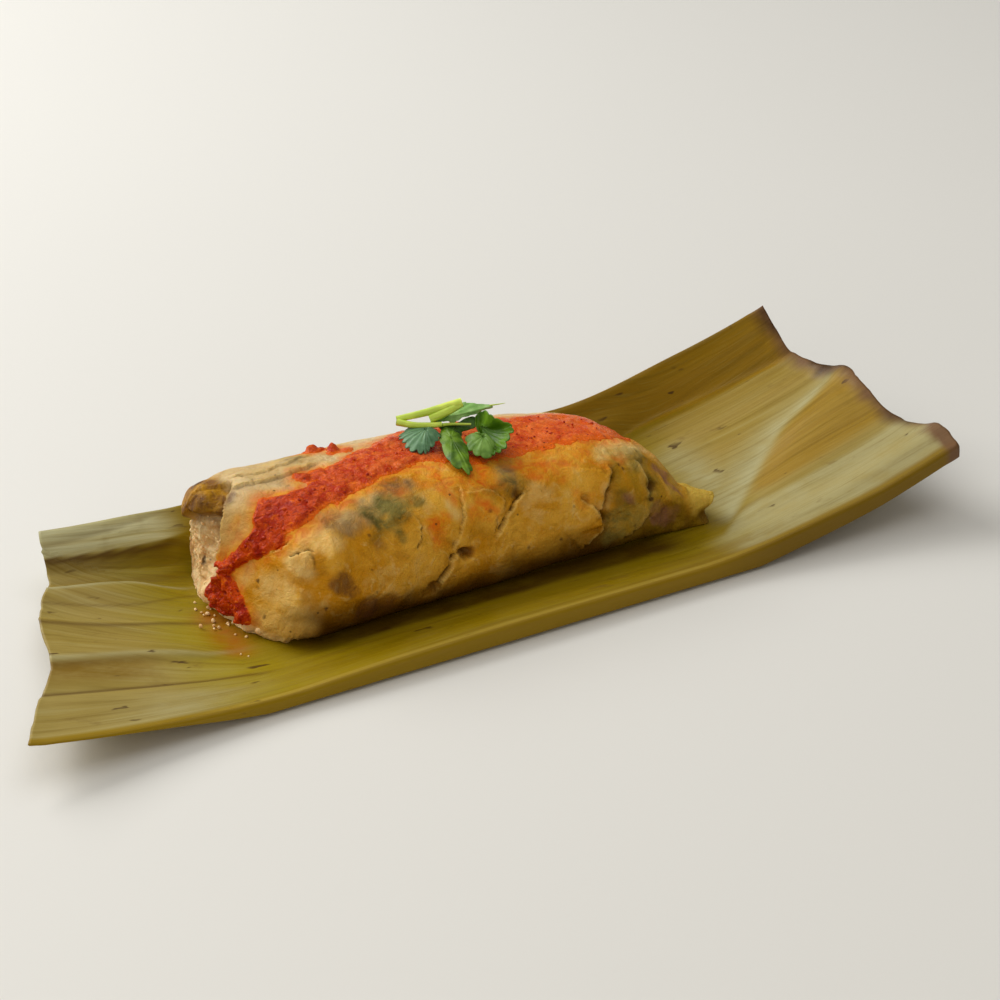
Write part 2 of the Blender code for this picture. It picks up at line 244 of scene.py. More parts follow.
def grid_normals(grid, wraps):
    """Unit normals of a grid of points; wraps is true when its second direction closes on itself."""
    along = np.gradient(grid, axis=0)
    if wraps:
        around = (np.roll(grid, -1, 1) - np.roll(grid, 1, 1)) / 2
    else:
        around = np.gradient(grid, axis=1)
    normal = np.cross(along, around)
    return normal / (np.linalg.norm(normal, axis=-1, keepdims=True) + 1e-12)


# ------------------------------------------------------------ meshes and materials


def quads(rows, columns, wraps=False):
    """Corner numbers of a grid's faces."""
    i = np.arange(rows - 1)[:, None]
    j = np.arange(columns if wraps else columns - 1)[None, :]
    k = (j + 1) % columns
    faces = np.stack([i * columns + j, (i + 1) * columns + j, (i + 1) * columns + k, i * columns + k], -1)
    return faces.reshape(-1, 4)


def end_caps(rows, around, start=0):
    """Faces that close a tube of rings on the two points that follow them."""
    first_pole = start + rows * around
    last = first_pole - around
    caps = [(first_pole, start + j, start + (j + 1) % around) for j in range(around)]
    return caps + [(first_pole + 1, last + (j + 1) % around, last + j) for j in range(around)]


def make_piece(name, points, faces, material, node=None, values=None):
    """A piece from layout points in millimetres, riding on the part, in its material."""
    mesh = bpy.data.meshes.new(name)
    placed = (np.asarray(points, float) - LAYOUT_MIDDLE) * MM
    mesh.from_pydata(placed.tolist(), [], [list(map(int, f)) for f in faces])
    mesh.validate()
    for key, number in (values or {}).items():
        layer = mesh.attributes.new(key, "FLOAT", "POINT")
        layer.data.foreach_set("value", np.asarray(number, np.float32).ravel())
    mesh.shade_smooth()
    mesh.materials.append(material)
    piece = bpy.data.objects.new(name, mesh)
    bpy.context.scene.collection.objects.link(piece)
    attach(piece, "root")
    if node:
        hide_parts(node)
    return piece


def linear(colour):
    """A display colour, 0 to 255, as the renderer's linear one."""
    c = np.array(colour[:3], float) / 255.0
    c = np.where(c <= 0.04045, c / 12.92, ((c + 0.055) / 1.055) ** 2.4)
    return (*[float(v) for v in c], 1.0)


class Recipe:
    """A material's nodes. Each method adds nodes and returns an output. Tones are display colours."""

    def __init__(self, name):
        self.material = bpy.data.materials.new(name)
        self.material.use_nodes = True
        self.tree = self.material.node_tree
        self.shader = self.tree.nodes["Principled BSDF"]
        self.place = self.tree.nodes.new("ShaderNodeTexCoord").outputs["Object"]

    def node(self, kind, inputs=None, **settings):
        made = self.tree.nodes.new(kind)
        for key, value in settings.items():
            setattr(made, key, value)
        for key, value in (inputs or {}).items():
            if isinstance(value, bpy.types.NodeSocket):
                self.tree.links.new(value, made.inputs[key])
            else:
                made.inputs[key].default_value = value
        return made

    def value(self, name):
        """A mark of the surface, by its name."""
        return self.node("ShaderNodeAttribute", attribute_name=name).outputs["Fac"]

    def stretched(self, scale, offset=(0, 0, 0)):
        """The places on the piece, scaled and moved, for patterns that run one way."""
        inputs = {"Vector": self.place, "Scale": scale, "Location": offset}
        return self.node("ShaderNodeMapping", inputs).outputs["Vector"]

    def noise(self, scale, detail=3.0, rough=0.55, vector=None, distortion=0.0):
        """A soft pattern; the scale is how many of its patches fit in a metre."""
        inputs = {"Vector": vector or self.place, "Scale": scale, "Detail": detail, "Roughness": rough}
        inputs["Distortion"] = distortion
        return self.node("ShaderNodeTexNoise", inputs).outputs["Fac"]

    def grains(self, scale):
        """The distance to the nearest of many scattered dots, in shares of their spacing."""
        inputs = {"Vector": self.place, "Scale": scale}
        return self.node("ShaderNodeTexVoronoi", inputs).outputs["Distance"]

    def band(self, value, low, high, to_low=0.0, to_high=1.0):
        """A soft step from one result to another as a value goes from low to high."""
        inputs = {"Value": value, "From Min": low, "From Max": high, "To Min": to_low, "To Max": to_high}
        return self.node("ShaderNodeMapRange", inputs, interpolation_type="SMOOTHSTEP").outputs["Result"]

    def math(self, operation, a, b=0.0):
        return self.node("ShaderNodeMath", {0: a, 1: b}, operation=operation).outputs[0]

    def mix(self, share, a, b):
        """The colour a, turning into the colour b as the share goes from 0 to 1."""
        return self.node("ShaderNodeMix", {0: share, 6: a, 7: b}, data_type="RGBA").outputs[2]

    def blend(self, pattern, a, b, low=0.35, high=0.65):
        """The tones a and b, in the patches of a pattern."""
        return self.mix(self.band(pattern, low, high), linear(a), linear(b))

    def over(self, colour, tone, *factors):
        """The colour with a tone laid over it. Its share is the product of marks, outputs and numbers."""
        tone = tone if isinstance(tone, bpy.types.NodeSocket) else linear(tone)
        parts = [self.value(factor) if isinstance(factor, str) else factor for factor in factors]
        share = parts[0]
        for part in parts[1:]:
            share = self.math("MULTIPLY", share, part)
        return self.mix(share, colour, tone)

    def bump(self, height, distance, strength=1.0, under=None):
        """Fine relief from a pattern, over the relief under it. The distance is in metres."""
        inputs = {"Height": height, "Distance": distance, "Strength": strength}
        if under is not None:
            inputs["Normal"] = under
        return self.node("ShaderNodeBump", inputs).outputs["Normal"]

    def finish(self, colour, roughness, normal=None, **constants):
        """The material with its colour, roughness and relief; the constants name the shader's inputs."""
        for key, value in (("Base Color", colour), ("Roughness", roughness), ("Normal", normal)):
            if isinstance(value, bpy.types.NodeSocket):
                self.tree.links.new(value, self.shader.inputs[key])
            elif value is not None:
                self.shader.inputs[key].default_value = value
        for key, value in constants.items():
            self.shader.inputs[key.replace("_", " ")].default_value = value
        return self.material


# ------------------------------------------------------------ the banana leaf


def end_rise(distance, length, height):
    """The lift at a distance along an end that curves up to its height over its length."""
    return height * np.clip(distance / length, 0.0, None) ** 1.6


def leaf_floor(x):
    """The height of the leaf's middle: flat under the tamale, rising to both ends."""
    left = end_rise(LEAF_FLAT_FROM - x, LEAF_LEFT_RUN, LEAF_LEFT_RISE)
    return LEAF_SHEET + left + end_rise(x - LEAF_FLAT_TO, LEAF_RIGHT_RUN, LEAF_RIGHT_RISE)


# The back wall's foot across the leaf, its edge's share of the full lift, and the two bends of its
# profile as shares of its width and of its lift. Each is given at places along the leaf.
WALL_FOOT = (
    (-120, 31), (-100, 31), (-80, 30), (-60, 33), (70, 37),
    (88, 40), (115, 38), (132, 36.5), (148, 34),
)
WALL_LIFT = ((-118, 0.8), (-90, 0.95), (-50, 1), (60, 1), (110, 0.92), (148, 0.92))
LOW_BEND_WIDTH = ((-120, 0.40), (-80, 0.26), (-55, 0.33), (148, 0.33))
LOW_BEND_LIFT = ((-120, 0.23), (-80, 0.20), (-55, 0.33), (148, 0.33))
HIGH_BEND_WIDTH = ((-120, 0.58), (-80, 0.46), (-55, 0.66), (148, 0.66))
HIGH_BEND_LIFT = ((-120, 0.50), (-80, 0.63), (-55, 0.66), (148, 0.66))

# The two folds of the flap at the left: shares of its width at its outer and at its inner end.
FLAP_FOLDS = ((0.12, 0.75), (0.5, 1.15))


def wall_share(x, y):
    """How far across the back wall a place is: 0 at its foot, 1 at the leaf's edge."""
    foot = through(WALL_FOOT, x)
    return (y - foot) / (LEAF_BACK - foot)


def back_wall(x, y):
    """The lift of the leaf's back wall: towards -X a strip, an upright step and a nearly level flap."""
    lift = LEAF_BACK_LIFT * through(WALL_LIFT, x)
    t = wall_share(x, y)
    low_t, low = through(LOW_BEND_WIDTH, x), through(LOW_BEND_LIFT, x)
    high_t, high = through(HIGH_BEND_WIDTH, x), through(HIGH_BEND_LIFT, x)
    strip = low * t / low_t
    step = low + (high - low) * (t - low_t) / (high_t - low_t)
    flap = high + (1 - high) * (t - high_t) / (1 - high_t)
    return lift * np.maximum(np.where(t < low_t, strip, np.where(t < high_t, step, flap)), 0.0)


def front_rise(x, y):
    """The lift from the trough up to the hem's crease."""
    lift = through([(-147, -0.25), (-100, 0.5), (-60, 0.95), (40, 1.1), (84, 1.0), (120, 0.6)], x)
    return LEAF_FRONT_LIFT * lift * smooth((-19.0 - y) / 29.0)


def fold(across, height, back_width, front_width):
    """A ridge, or below zero a groove, that falls off over its own width on either side."""
    return height * bell(across, np.where(across > 0, back_width, front_width))


def flap_crest(ends, x):
    """Where the crest of one of the flap's folds is, as a share of the flap's width."""
    return through(((-120, ends[0]), (-74, ends[1])), x)


# Folds of the leaf's ends, as (x, y) stations of their crests, then the torn right end, as places
# across the leaf and along it, and the depth of the hem's band along the leaf.
LEFT_RIDGE = ((-121, 30), (-104, 28.5), (-80, 23))
LEFT_PLEAT = ((-128, 15), (-110, 10), (-88, 6), (-78, 3))
LEFT_CREST = ((-134, -8), (-117, -9), (-103, -11), (-90, -15))
LEFT_GROOVE = ((-140, -24), (-118, -25), (-93, -28), (-80, -31))
RIGHT_CREASE = ((80, -24), (92, -15), (107, -4), (119, 4), (132, 9), (148, 16))
RIGHT_HUMP = ((76, -41), (148, -37))
RIGHT_END = ((-48, 148), (-34, 149.5), (-20, 146.5), (2, 147), (15, 149), (32, 145.5), (47, 142))
HEM_DEPTH = ((-150, 1.0), (-120, 2.0), (-90, 4.6), (-60, 7.0), (60, 8.2), (100, 7.0), (147, 6.0))


def leaf_top(x, y):
    """The height of the leaf's upper face, before its small unevenness."""
    z = leaf_floor(x) + back_wall(x, y) + front_rise(x, y)
    left = smooth((-80.0 - x) / 18.0)
    z = z + fold(y - through(LEFT_RIDGE, x), 2.8 * left, 2.2, 7.0)
    z = z + fold(y - through(LEFT_PLEAT, x), 1.0 * left, 1.5, 5.0)
    z = z + fold(y - through(LEFT_CREST, x), 1.6 * left, 9.0, 2.5)
    z = z + fold(y - through(LEFT_GROOVE, x), -0.7 * left, 4.0, 1.5)
    right = smooth((x - 78.0) / 62.0)
    crease = through(RIGHT_CREASE, x)
    z = z + fold(y - crease + 9.0, 4.4 * right, 11.0, 17.0)
    z = z + fold(y - crease - 4.0, -0.6 * right, 7.0, 7.0)
    return z + fold(y - through(RIGHT_HUMP, x), 2.5 * right, 5.0, 6.0)


def leaf_ends(y):
    """Where the leaf's two torn ends are, at a place across it."""
    across = np.clip((y - LEAF_FRONT) / (LEAF_BACK - LEAF_FRONT), 0.0, 1.0)
    left = -LEAF_HALF - LEFT_CORNER_REACH + LEFT_END_SLANT * across
    left = left + 2.4 * np.sin(math.pi * np.clip((LEAF_BACK - y) / 26.0, 0, 1)) ** 2
    left = left + 4.4 * np.sin(math.pi * np.clip((20.0 - y) / 62.0, 0, 1)) ** 2
    return left, through(RIGHT_END, y)


def hem_point(x, turn):
    """A point (y, z) on the hem, from the crease (turn 0) down the band and under it (turn 1)."""
    top = leaf_top(x, LEAF_FRONT + HEM_RADIUS)
    bottom = np.maximum(top - through(HEM_DEPTH, x), 0.0)
    radius = np.minimum(HEM_RADIUS, 0.45 * (top - bottom))
    wall = np.maximum(top - bottom - 2 * radius, 0.0)
    quarter = 0.5 * math.pi * radius
    run = turn * (2 * quarter + wall + HEM_TUCK)
    angle = np.clip(run / radius, 0, 0.5 * math.pi)
    low = np.clip((run - quarter - wall) / radius, 0, 0.5 * math.pi)
    drop = np.clip(run - quarter, 0, wall)
    tuck = np.clip(run - 2 * quarter - wall, 0, HEM_TUCK)
    y = LEAF_FRONT + radius * (1 - np.sin(angle)) + radius * (1 - np.cos(low)) + tuck
    z = top - radius * (1 - np.cos(angle)) - drop - radius * np.sin(low)
    return y, z


# How far the veins swing back, for each millimetre towards the -X end, by where they pass the tamale.
VEIN_FAN = ((-48, 0.0), (-38, 0.06), (-28, 0.3), (-18, 0.46), (2, 0.5), (22, 0.36), (31, 0.14), (50, 0.06))


def vein_line(x, y):
    """Which vein passes a place: its distance across the leaf where the veins pass the tamale."""
    lines = np.linspace(-60.0, 60.0, 241)
    fan = through(VEIN_FAN, lines)
    place = np.empty_like(y)
    for column in range(x.shape[0]):
        spread = lines + fan * max(-80.0 - float(x[column].mean()), 0.0)
        place[column] = np.interp(y[column], spread, lines)
    return place


def leaf_sheet(columns, rows):
    """The leaf's upper face as a grid, its measure across, and the distances from both ends."""
    u = np.linspace(0, 1, columns)[:, None] * np.ones((1, rows))
    v = np.linspace(0, 1, rows)[None, :] * np.ones((columns, 1))
    crease = LEAF_FRONT + HEM_RADIUS
    y_top = crease + (LEAF_BACK - crease) * (v - HEM_SHARE) / (1 - HEM_SHARE)
    in_hem = v < HEM_SHARE
    y_for_ends = np.where(in_hem, LEAF_FRONT + 1.5 * HEM_TUCK * (1 - v / HEM_SHARE), y_top)
    left, right = leaf_ends(y_for_ends)
    x = left + (right - left) * u
    hem_y, hem_z = hem_point(x, np.clip(1 - v / HEM_SHARE, 0, 1))
    wing = smooth((x - 60.0) / 50.0) * smooth((y_top - 20.0) / 27.0)
    y = np.where(in_hem, hem_y, y_top + WING_SWEEP * wing)
    z = np.where(in_hem, hem_z, leaf_top(x, y_top))
    return np.stack([x, y, z], -1), v, x - left, right - x


def upward_normals(grid):
    """The leaf grid's unit normals, turned up."""
    normal = grid_normals(grid, False)
    return normal * np.sign(normal[len(grid) // 2, -8, 2])


def leaf_shape(columns, rows):
    """The leaf's upper face with its ripples, torn ends and curled edge."""
    grid, v, from_left, from_right = leaf_sheet(columns, rows)
    x, y = grid[..., 0], grid[..., 1]
    line = vein_line(x, np.where(v < HEM_SHARE, LEAF_FRONT - 30.0 * (HEM_SHARE - v), y))
    flat = np.stack([x, line, np.zeros_like(v)], -1)
    normal = upward_normals(grid)
    in_top = smooth((v - HEM_SHARE) / 0.03)
    under_food = smooth((84.0 - np.abs(x + 2)) / 10.0) * smooth((42.0 - np.abs(y - 8)) / 8.0)
    ripple = 0.8 * layers(flat * [0.3, 1.0, 1.0], 22.0, 11, 3)
    pleats = 0.26 * cloud(flat * [0.03, 1.0, 1.0], 7.0, 23) + 0.09 * cloud(flat * [0.05, 1.0, 1.0], 2.4, 29)
    across = wall_share(x, y)
    low_t, high_t = through(LOW_BEND_WIDTH, x), through(HIGH_BEND_WIDTH, x)
    share = (across - high_t) / 0.6
    flap = smooth((-74.0 - x) / 8.0) * smooth(share / 0.1)
    for ends in FLAP_FOLDS:
        pleats = pleats + flap * fold(share - flap_crest(ends, x), 0.45, 0.08, 0.25)
    calm = smooth((across - low_t + 0.12) / 0.06) * smooth((high_t + 0.14 - across) / 0.08)
    free = in_top * (1 - under_food) * (1 - 0.9 * calm * smooth((-68.0 - x) / 8.0))
    end = smooth((7.0 - from_right) / 7.0)
    curl = 2.4 * end * smooth((y + 34) / 20) * (0.5 + 0.7 * cloud(flat, 14.0, 41))
    grid = grid + normal * (free * (ripple + pleats) + curl * in_top)[..., None]
    torn = 1.1 * layers(flat, 7.0, 37, 3)
    grid[..., 0] += torn * (smooth(1 - from_left / 14.0) - smooth(1 - from_right / 14.0))
    return grid, line, v, from_left, from_right


def make_leaf(look):
    """The leaf as a thin sheet that gets thinner towards its torn ends."""
    columns, rows = 360, 176
    thinnest = 0.05
    grid, line, v, from_left, from_right = leaf_shape(columns, rows)
    grid[..., 2] = np.maximum(grid[..., 2], thinnest)
    thin = LEAF_SHEET * (0.5 + 0.4 * smooth(np.minimum(from_left, from_right) / 6.0))
    below = grid - upward_normals(grid) * thin[..., None]
    below[..., 2] = np.maximum(below[..., 2], 0.0)
    grid[..., 2] = np.maximum(grid[..., 2], below[..., 2] + thinnest)
    points, faces, used = closed_skin(grid.reshape(-1, 3), below.reshape(-1, 3), quads(columns, rows))
    values = leaf_marks(grid, line, v, from_right)
    both = {key: np.concatenate([number.ravel(), number.ravel()])[used] for key, number in values.items()}
    return make_piece("leaf_sheet", points, faces, leaf_finish(look), "banana_leaf", both)


def leaf_marks(grid, line, v, from_right):
    """Where the leaf is khaki, golden, browned or stained; its pale marks are mostly painted sheen and
    highlights, its dark marks painted shade.
    """
    x, y = grid[..., 0], grid[..., 1]
    streak = layers(np.stack([x * 0.05, line, np.zeros_like(x)], -1), 6.0, 61, 3)
    patch = layers(np.stack([x * 0.4, y, np.zeros_like(x)], -1), 26.0, 67, 3)
    top = smooth((v - HEM_SHARE) / 0.02)
    left = smooth((-72.0 - x) / 12.0)
    khaki = smooth((-78.0 - x + 14 * patch + 8 * streak) / 26.0)
    khaki = khaki + smooth((x - 72.0 + 14 * patch + 5 * streak) / 24.0) * smooth((39.0 - y) / 4.0)

    share = wall_share(x, y)
    low_t, high_t = through(LOW_BEND_WIDTH, x), through(HIGH_BEND_WIDTH, x)
    flap = left * smooth((share - high_t) / 0.05)
    up_flap = (share - high_t) / 0.6
    # Dark lines along the flap's folds: painted shade.
    lines = np.zeros_like(x)
    for ends in FLAP_FOLDS:
        lines = np.maximum(lines, flap * bell(up_flap - flap_crest(ends, x) - 0.12, 0.07))
    # Painted highlights: pale lines along the left ridge and the left crest.
    ridge = through(LEFT_RIDGE, x)
    ridge_line = bell(y - ridge, 0.8) * smooth((-76 - x) / 10)
    crest = through(LEFT_CREST, x)
    crest_line = bell(y - crest, 1.2) * left * 0.6
    # Painted sheen on the leaf's left front.
    front_sheen = bell(x + 104, 17.0) * bell(y + 38, 7.0) * (0.75 + 0.5 * streak)

    crease = through(RIGHT_CREASE, x) + 2.0 * patch
    behind = y - crease
    reach = through([(84, 16), (107, 9), (132, 6), (148, 3)], x)
    # Painted sheen behind the right crease.
    sheen = smooth((behind + 2.5) / 4.5) * bell(np.maximum(behind, 0), reach) * smooth((x - 74) / 12)
    strip_edge = through([(74, -28), (88, -19), (103, -21), (148, -20)], x) + 2.0 * patch
    strip = smooth((strip_edge - y) / 4.0) * smooth((x - 62) / 16)
    hump = smooth((1.0 - behind) / 6.0) * smooth((y - strip_edge) / 5.0) * smooth((x - 86) / 14)
    trough = smooth((behind - reach) / 8.0) * smooth((x - 80) / 20) * (0.7 + 0.6 * streak)
    wing = smooth((share + 0.06 * streak) / 0.12) * smooth((x - 30) / 20)

    # A painted highlight along the hem's crease.
    hem_line = bell(v - HEM_SHARE - 0.003, 0.0035) * smooth((x + 112) / 30)
    end = smooth(1 - (from_right + 2.5 * streak + 2.0 * patch) / 6.0)
    corner = smooth((x - 143 + 3 * patch) / 5) * smooth((-30 - y) / 8)
    # Painted sheen beside the masa's right end.
    glow = bell(x - 87, 8.0) * smooth((y + 12) / 8) * smooth((30 - y) / 12) * (0.7 + 0.6 * patch)
    # Painted shade on the upright step that faces the front.
    wide = through([(-120, -0.01), (-80, 0.05)], x)
    band = left * smooth((share - low_t + wide) / 0.06) * smooth((high_t + 0.02 - share) / 0.03)
    band = band * (0.35 + 0.65 * smooth((share - 0.5 * (low_t + high_t)) / (0.3 * (high_t - low_t))))
    groove = through(LEFT_GROOVE, x)
    pleat = through(LEFT_PLEAT, x)
    faint = through([(-124, 24), (-96, 18)], x)
    # Painted shade along the left groove and in front of the pleat; a faint dark line further back.
    dark = bell(y - groove, 0.8) * left * 0.9
    dark = np.maximum(dark, bell(y - pleat + 1.6, 0.9) * left * 0.7)
    dark = np.maximum(dark, bell(y - faint, 0.6) * left * 0.45)
    hollow = smooth((crest - 1.0 - y) / 1.5) * smooth((y - groove - 1.5) / 7.0) * smooth((-100 - x) / 14)
    behind_ridge = left * smooth((y - ridge - 0.8) / 1.0) * smooth((0.5 * low_t - share) / 0.05)
    stain = bell(x + 80, 5.0) * smooth((14 - y) / 8) * smooth((y + 22) / 8)
    # A painted shadow on the leaf just in front of the masa's base.
    shade = smooth((y + 31 + 2 * streak) / 7.0) * smooth((-14 - y) / 4.0) * smooth((70 - np.abs(x + 2)) / 14)
    near = np.maximum(np.abs(x + 2) - 76, 0) ** 2 + np.maximum(np.abs(y - 8) - 29, 0) ** 2
    return {
        "along": x,
        "line": line,
        "khaki": np.clip(khaki, 0, 1) * top,
        # The flap; its pale grey-green is painted sheen.
        "flap": np.clip(flap, 0, 1) * top,
        # Painted sheen and highlights, with the pale front strip.
        "pale": strongest(ridge_line, crest_line, front_sheen, sheen, strip * 0.7, glow) * top,
        "gold": strongest(wing, 0.85 * hump, 0.35 * trough) * top,
        "crease": hem_line * (1 - 0.75 * smooth((x - 50) / 40)),
        "hem": 1 - top,
        "brown": np.clip(end + corner, 0, 1),
        # Painted shade on the step and along the fold lines; the hem darkens towards the right end.
        "dark": strongest(band, dark, 0.3 * lines) * top + 0.4 * (1 - top) * smooth((x - 50) / 40),
        "hollow": strongest(hollow, 0.35 * behind_ridge) * top,
        "stain": stain * top,
        "wet": shade * top,
        "fresh": bell(x + 88, 15.0) * smooth((x + 116) / 20) * top * (0.7 + 0.6 * patch),
        "damp": np.exp(-near / 14.0**2) * top * smooth((x + 92) / 16),
    }


def leaf_finish(look):
    """Streaks along the leaf's veins under its marks, dark flecks and a waxy relief."""
    r = Recipe("steamed banana leaf")
    along = r.math("MULTIPLY", r.value("along"), 0.03)
    lengthwise = r.node("ShaderNodeCombineXYZ", {"X": along, "Y": r.value("line"), "Z": 0.0}).outputs[0]
    hair = r.noise(2.6, 3.0, 0.6, lengthwise)
    fine = r.noise(0.9, 4.0, 0.6, lengthwise)
    medium = r.noise(0.32, 4.0, 0.6, lengthwise)
    broad = r.noise(0.12, 4.0, 0.55, lengthwise)
    blotch = r.noise(45.0, 4.0, 0.6)
    smudge = r.noise(110.0, 4.0, 0.6, r.stretched((0.6, 1.2, 1.0)))
    olive = r.blend(broad, look.leaf_deep, look.leaf_olive)
    khaki = r.blend(broad, look.leaf_khaki, look.leaf_straw)
    colour = r.mix(r.value("khaki"), olive, khaki)
    colour = r.over(colour, look.leaf_damp, "damp", 0.7)
    colour = r.over(colour, (156, 142, 0), "fresh", 0.75)
    gold = r.blend(medium, look.leaf_gold, (160, 122, 14))
    colour = r.over(colour, gold, "gold", 0.9)
    plain = r.math("SUBTRACT", 1.0, r.value("gold"))
    colour = r.over(colour, (180, 168, 112), "khaki", plain, r.band(medium, 0.5, 0.66, 0.0, 0.3))
    colour = r.over(colour, (116, 90, 4), r.band(medium, 0.34, 0.47, 0.32, 0.0))
    # Painted sheen and highlights on the pale marks.
    colour = r.over(colour, (176, 170, 126), "pale", r.band(smudge, 0.3, 0.6, 0.5, 0.9))
    # Painted sheen on the level flap, which faces the light.
    colour = r.over(colour, (198, 194, 148), "flap", r.band(medium, 0.34, 0.6, 0.45, 0.95))
    colour = r.over(colour, (112, 90, 6), r.band(fine, 0.45, 0.75, 0.0, 0.4))
    colour = r.over(colour, (176, 158, 78), r.band(hair, 0.5, 0.75, 0.0, 0.22))
    colour = r.over(colour, (108, 78, 4), r.band(blotch, 0.6, 0.75, 0.0, 0.35))
    colour = r.over(colour, (112, 84, 34), r.band(smudge, 0.62, 0.74, 0.0, 0.4))
    colour = r.over(colour, look.leaf_hem, "hem", 0.75)
    colour = r.over(colour, (124, 92, 0), "hollow", r.band(smudge, 0.3, 0.65, 0.35, 0.85))
    # Painted shade in the step and the folds; darker on the right hem.
    colour = r.over(colour, (80, 50, 0), "dark", 0.85)
    # Painted highlight along the hem's crease.
    colour = r.over(colour, (192, 168, 72), "crease", r.band(fine, 0.3, 0.6, 0.4, 0.85))
    flecks = r.noise(300.0, 2.0, 0.5, r.stretched((0.3, 1.0, 1.0)))
    sparse = r.band(r.noise(70.0, 2.0, 0.5, r.stretched((1, 1, 1), (0.4, 0.2, 0))), 0.5, 0.6)
    colour = r.over(colour, (70, 44, 12), r.band(flecks, 0.66, 0.71, 0.0, 0.85), sparse)
    colour = r.over(colour, (158, 84, 0), "stain", r.band(smudge, 0.3, 0.6, 0.5, 1.0), 0.85)
    browned = r.blend(blotch, (64, 36, 16), (116, 82, 54), 0.4, 0.6)
    colour = r.over(colour, browned, "brown", 0.92)
    # Painted shadow on the leaf in front of the masa's base.
    colour = r.over(colour, (70, 44, 0), "wet", r.band(smudge, 0.25, 0.6, 0.6, 0.9))
    rough = r.band(r.noise(90.0, 3.0, 0.6), 0.3, 0.7, 0.34, 0.5)
    height = r.math("ADD", r.math("MULTIPLY", hair, 0.35), r.math("MULTIPLY", fine, 1.0))
    normal = r.bump(height, 0.0003, 0.6)
    normal = r.bump(blotch, 0.0007, 0.3, normal)
    return r.finish(colour, rough, normal, Specular_IOR_Level=0.2)


# ------------------------------------------------------------ the masa

# Edges of the masa's torn and folded skin. Each has its path, then: which side stands proud (1 or -1),
# how high and how far back, how low the other side is and how far, and the gash between: depth and width.
EDGES = (
    (((42.5, -13.2, 28.2), (41.6, -14.7, 26.9), (40.2, -17.7, 23.5), (37.5, -19, 20.6), (35.6, -19.8, 17.4),
      (36.4, -20.6, 12.8)), 1, 1.6, 6, 2.2, 5, 2.2, 0.9),
    (((36.4, -20.6, 12.8), (32.7, -21, 10.7), (28.6, -21.6, 6.3)), 1, 1.5, 6, 0.8, 5, 0.2, 0.35),
    (((29.4, -18.2, 22.8), (32, -19.2, 20.6), (34.1, -19.7, 18.2), (34.9, -20.1, 15.7)),
     1, 0.9, 4, 0.7, 2, 0.4, 0.3),
    (((12.4, -14.2, 28.8), (9.5, -16.5, 26.8), (5.4, -18.1, 24.8), (2.7, -19.6, 21.8), (0.6, -20.5, 19),
      (-1.6, -21, 17.2)), -1, 0.8, 5, 0.5, 4, 1.3, 0.35),
    (((-5.6, -9.8, 32.6), (-7.4, -13.5, 30.5), (-8.9, -16.8, 27.8), (-11, -19.8, 23.1), (-14, -20.9, 20),
      (-14.4, -21.4, 17.2)), -1, 0.5, 5, 0.35, 4, 0.25, 0.3),
    (((-14.2, -21.3, 17.6), (-15.8, -22, 14), (-19, -22.5, 11), (-20.6, -23, 7.6)),
     -1, 0.9, 6, 0.5, 6, 1.7, 0.4),
    (((-14.4, -21.3, 17.0), (-11, -21.4, 16.2), (-6.5, -21.3, 15.6)), 1, 0.8, 4, 0.5, 2, 0.6, 0.35),
    (((-6.2, -12.6, 31.1), (-2.8, -12, 31.2), (1.3, -12.3, 30.8), (4.4, -13.8, 29.8)),
     1, 0.4, 5, 0.25, 3, 0.25, 0.28),
    (((4.4, -13.8, 29.8), (5.4, -16.4, 26.8), (1.6, -18.6, 23.8), (-0.4, -20.3, 19.6)),
     1, 0.3, 3, 0.25, 2, 0.2, 0.28),
    (((-23.9, -15.2, 30.2), (-23, -18.3, 27.1), (-24.6, -20, 24.2), (-26.2, -20.8, 22.2)),
     1, 0.3, 4, 0.25, 4, 0.5, 0.25),
    (((-34.2, -22.3, 16.8), (-30.8, -21.8, 18.8), (-29.2, -21.7, 19.7)), 1, 0.25, 4, 0.2, 3, 0.35, 0.25),
    (((-19.8, -23, 8.2), (-25.3, -23.2, 7.0), (-31, -23.3, 6.4)), -1, 0.5, 5, 0.4, 4, 0.8, 0.35),
    (((-64.6, -6.4, 24.4), (-62.6, -7.9, 26), (-60.4, -9.2, 27.6)), 1, 0.6, 3, 0.4, 3, 0.8, 0.3),
    (((-61.6, -11.8, 24.4), (-59.8, -12.6, 26), (-58, -14.2, 26.6), (-56.3, -15.9, 26.2)),
     1, 0.7, 3, 0.4, 3, 0.8, 0.3),
    (((-56.3, -15.9, 26.2), (-57.0, -17.2, 24.2), (-57.0, -18.4, 22.6)), 1, 0.3, 3, 0.3, 3, 0.3, 0.3),
    (((-64.6, 22.5, 34), (-67.4, 17, 33.4), (-71.2, 12.6, 29.5),
      (-73.6, 10.8, 23.4), (-75.6, 9.8, 17), (-77, 8, 10)),
     -1, 1.0, 6, 3.4, 7, 0.8, 0.7),
    (((-67.6, 17.2, 33.6), (-62, 15.2, 34.9), (-55.6, 15.5, 35.2), (-49.5, 15.6, 35.4), (-38.9, 17.6, 35.6)),
     -1, 0.7, 6, 0.3, 4, 0.1, 0.5),
    (((-66, 25, 33.9), (-58, 21.5, 34.9), (-47, 21.4, 35.2), (-38, 24.5, 34.8)),
     -1, 0.35, 5, 0.25, 4, 0.1, 0.5),
    (((-62.6, 23.4, 34.4), (-61.4, 19.6, 34.9), (-60.2, 15.9, 35)), 1, 0.4, 3, 0.2, 3, 0.6, 0.35),
    (((53.0, -11.6, 26.4), (53.4, -15.4, 24.2), (53.8, -18.2, 20.4), (53.4, -19.6, 16.6)),
     1, 0.6, 4, 1.8, 3, 0.5, 0.6),
    (((54.5, -19.9, 12.4), (51.1, -20.5, 9.6), (47, -20.9, 6.4), (42.9, -21.1, 4.6)),
     1, 0.8, 4, 1.0, 4, 0.2, 0.4),
)

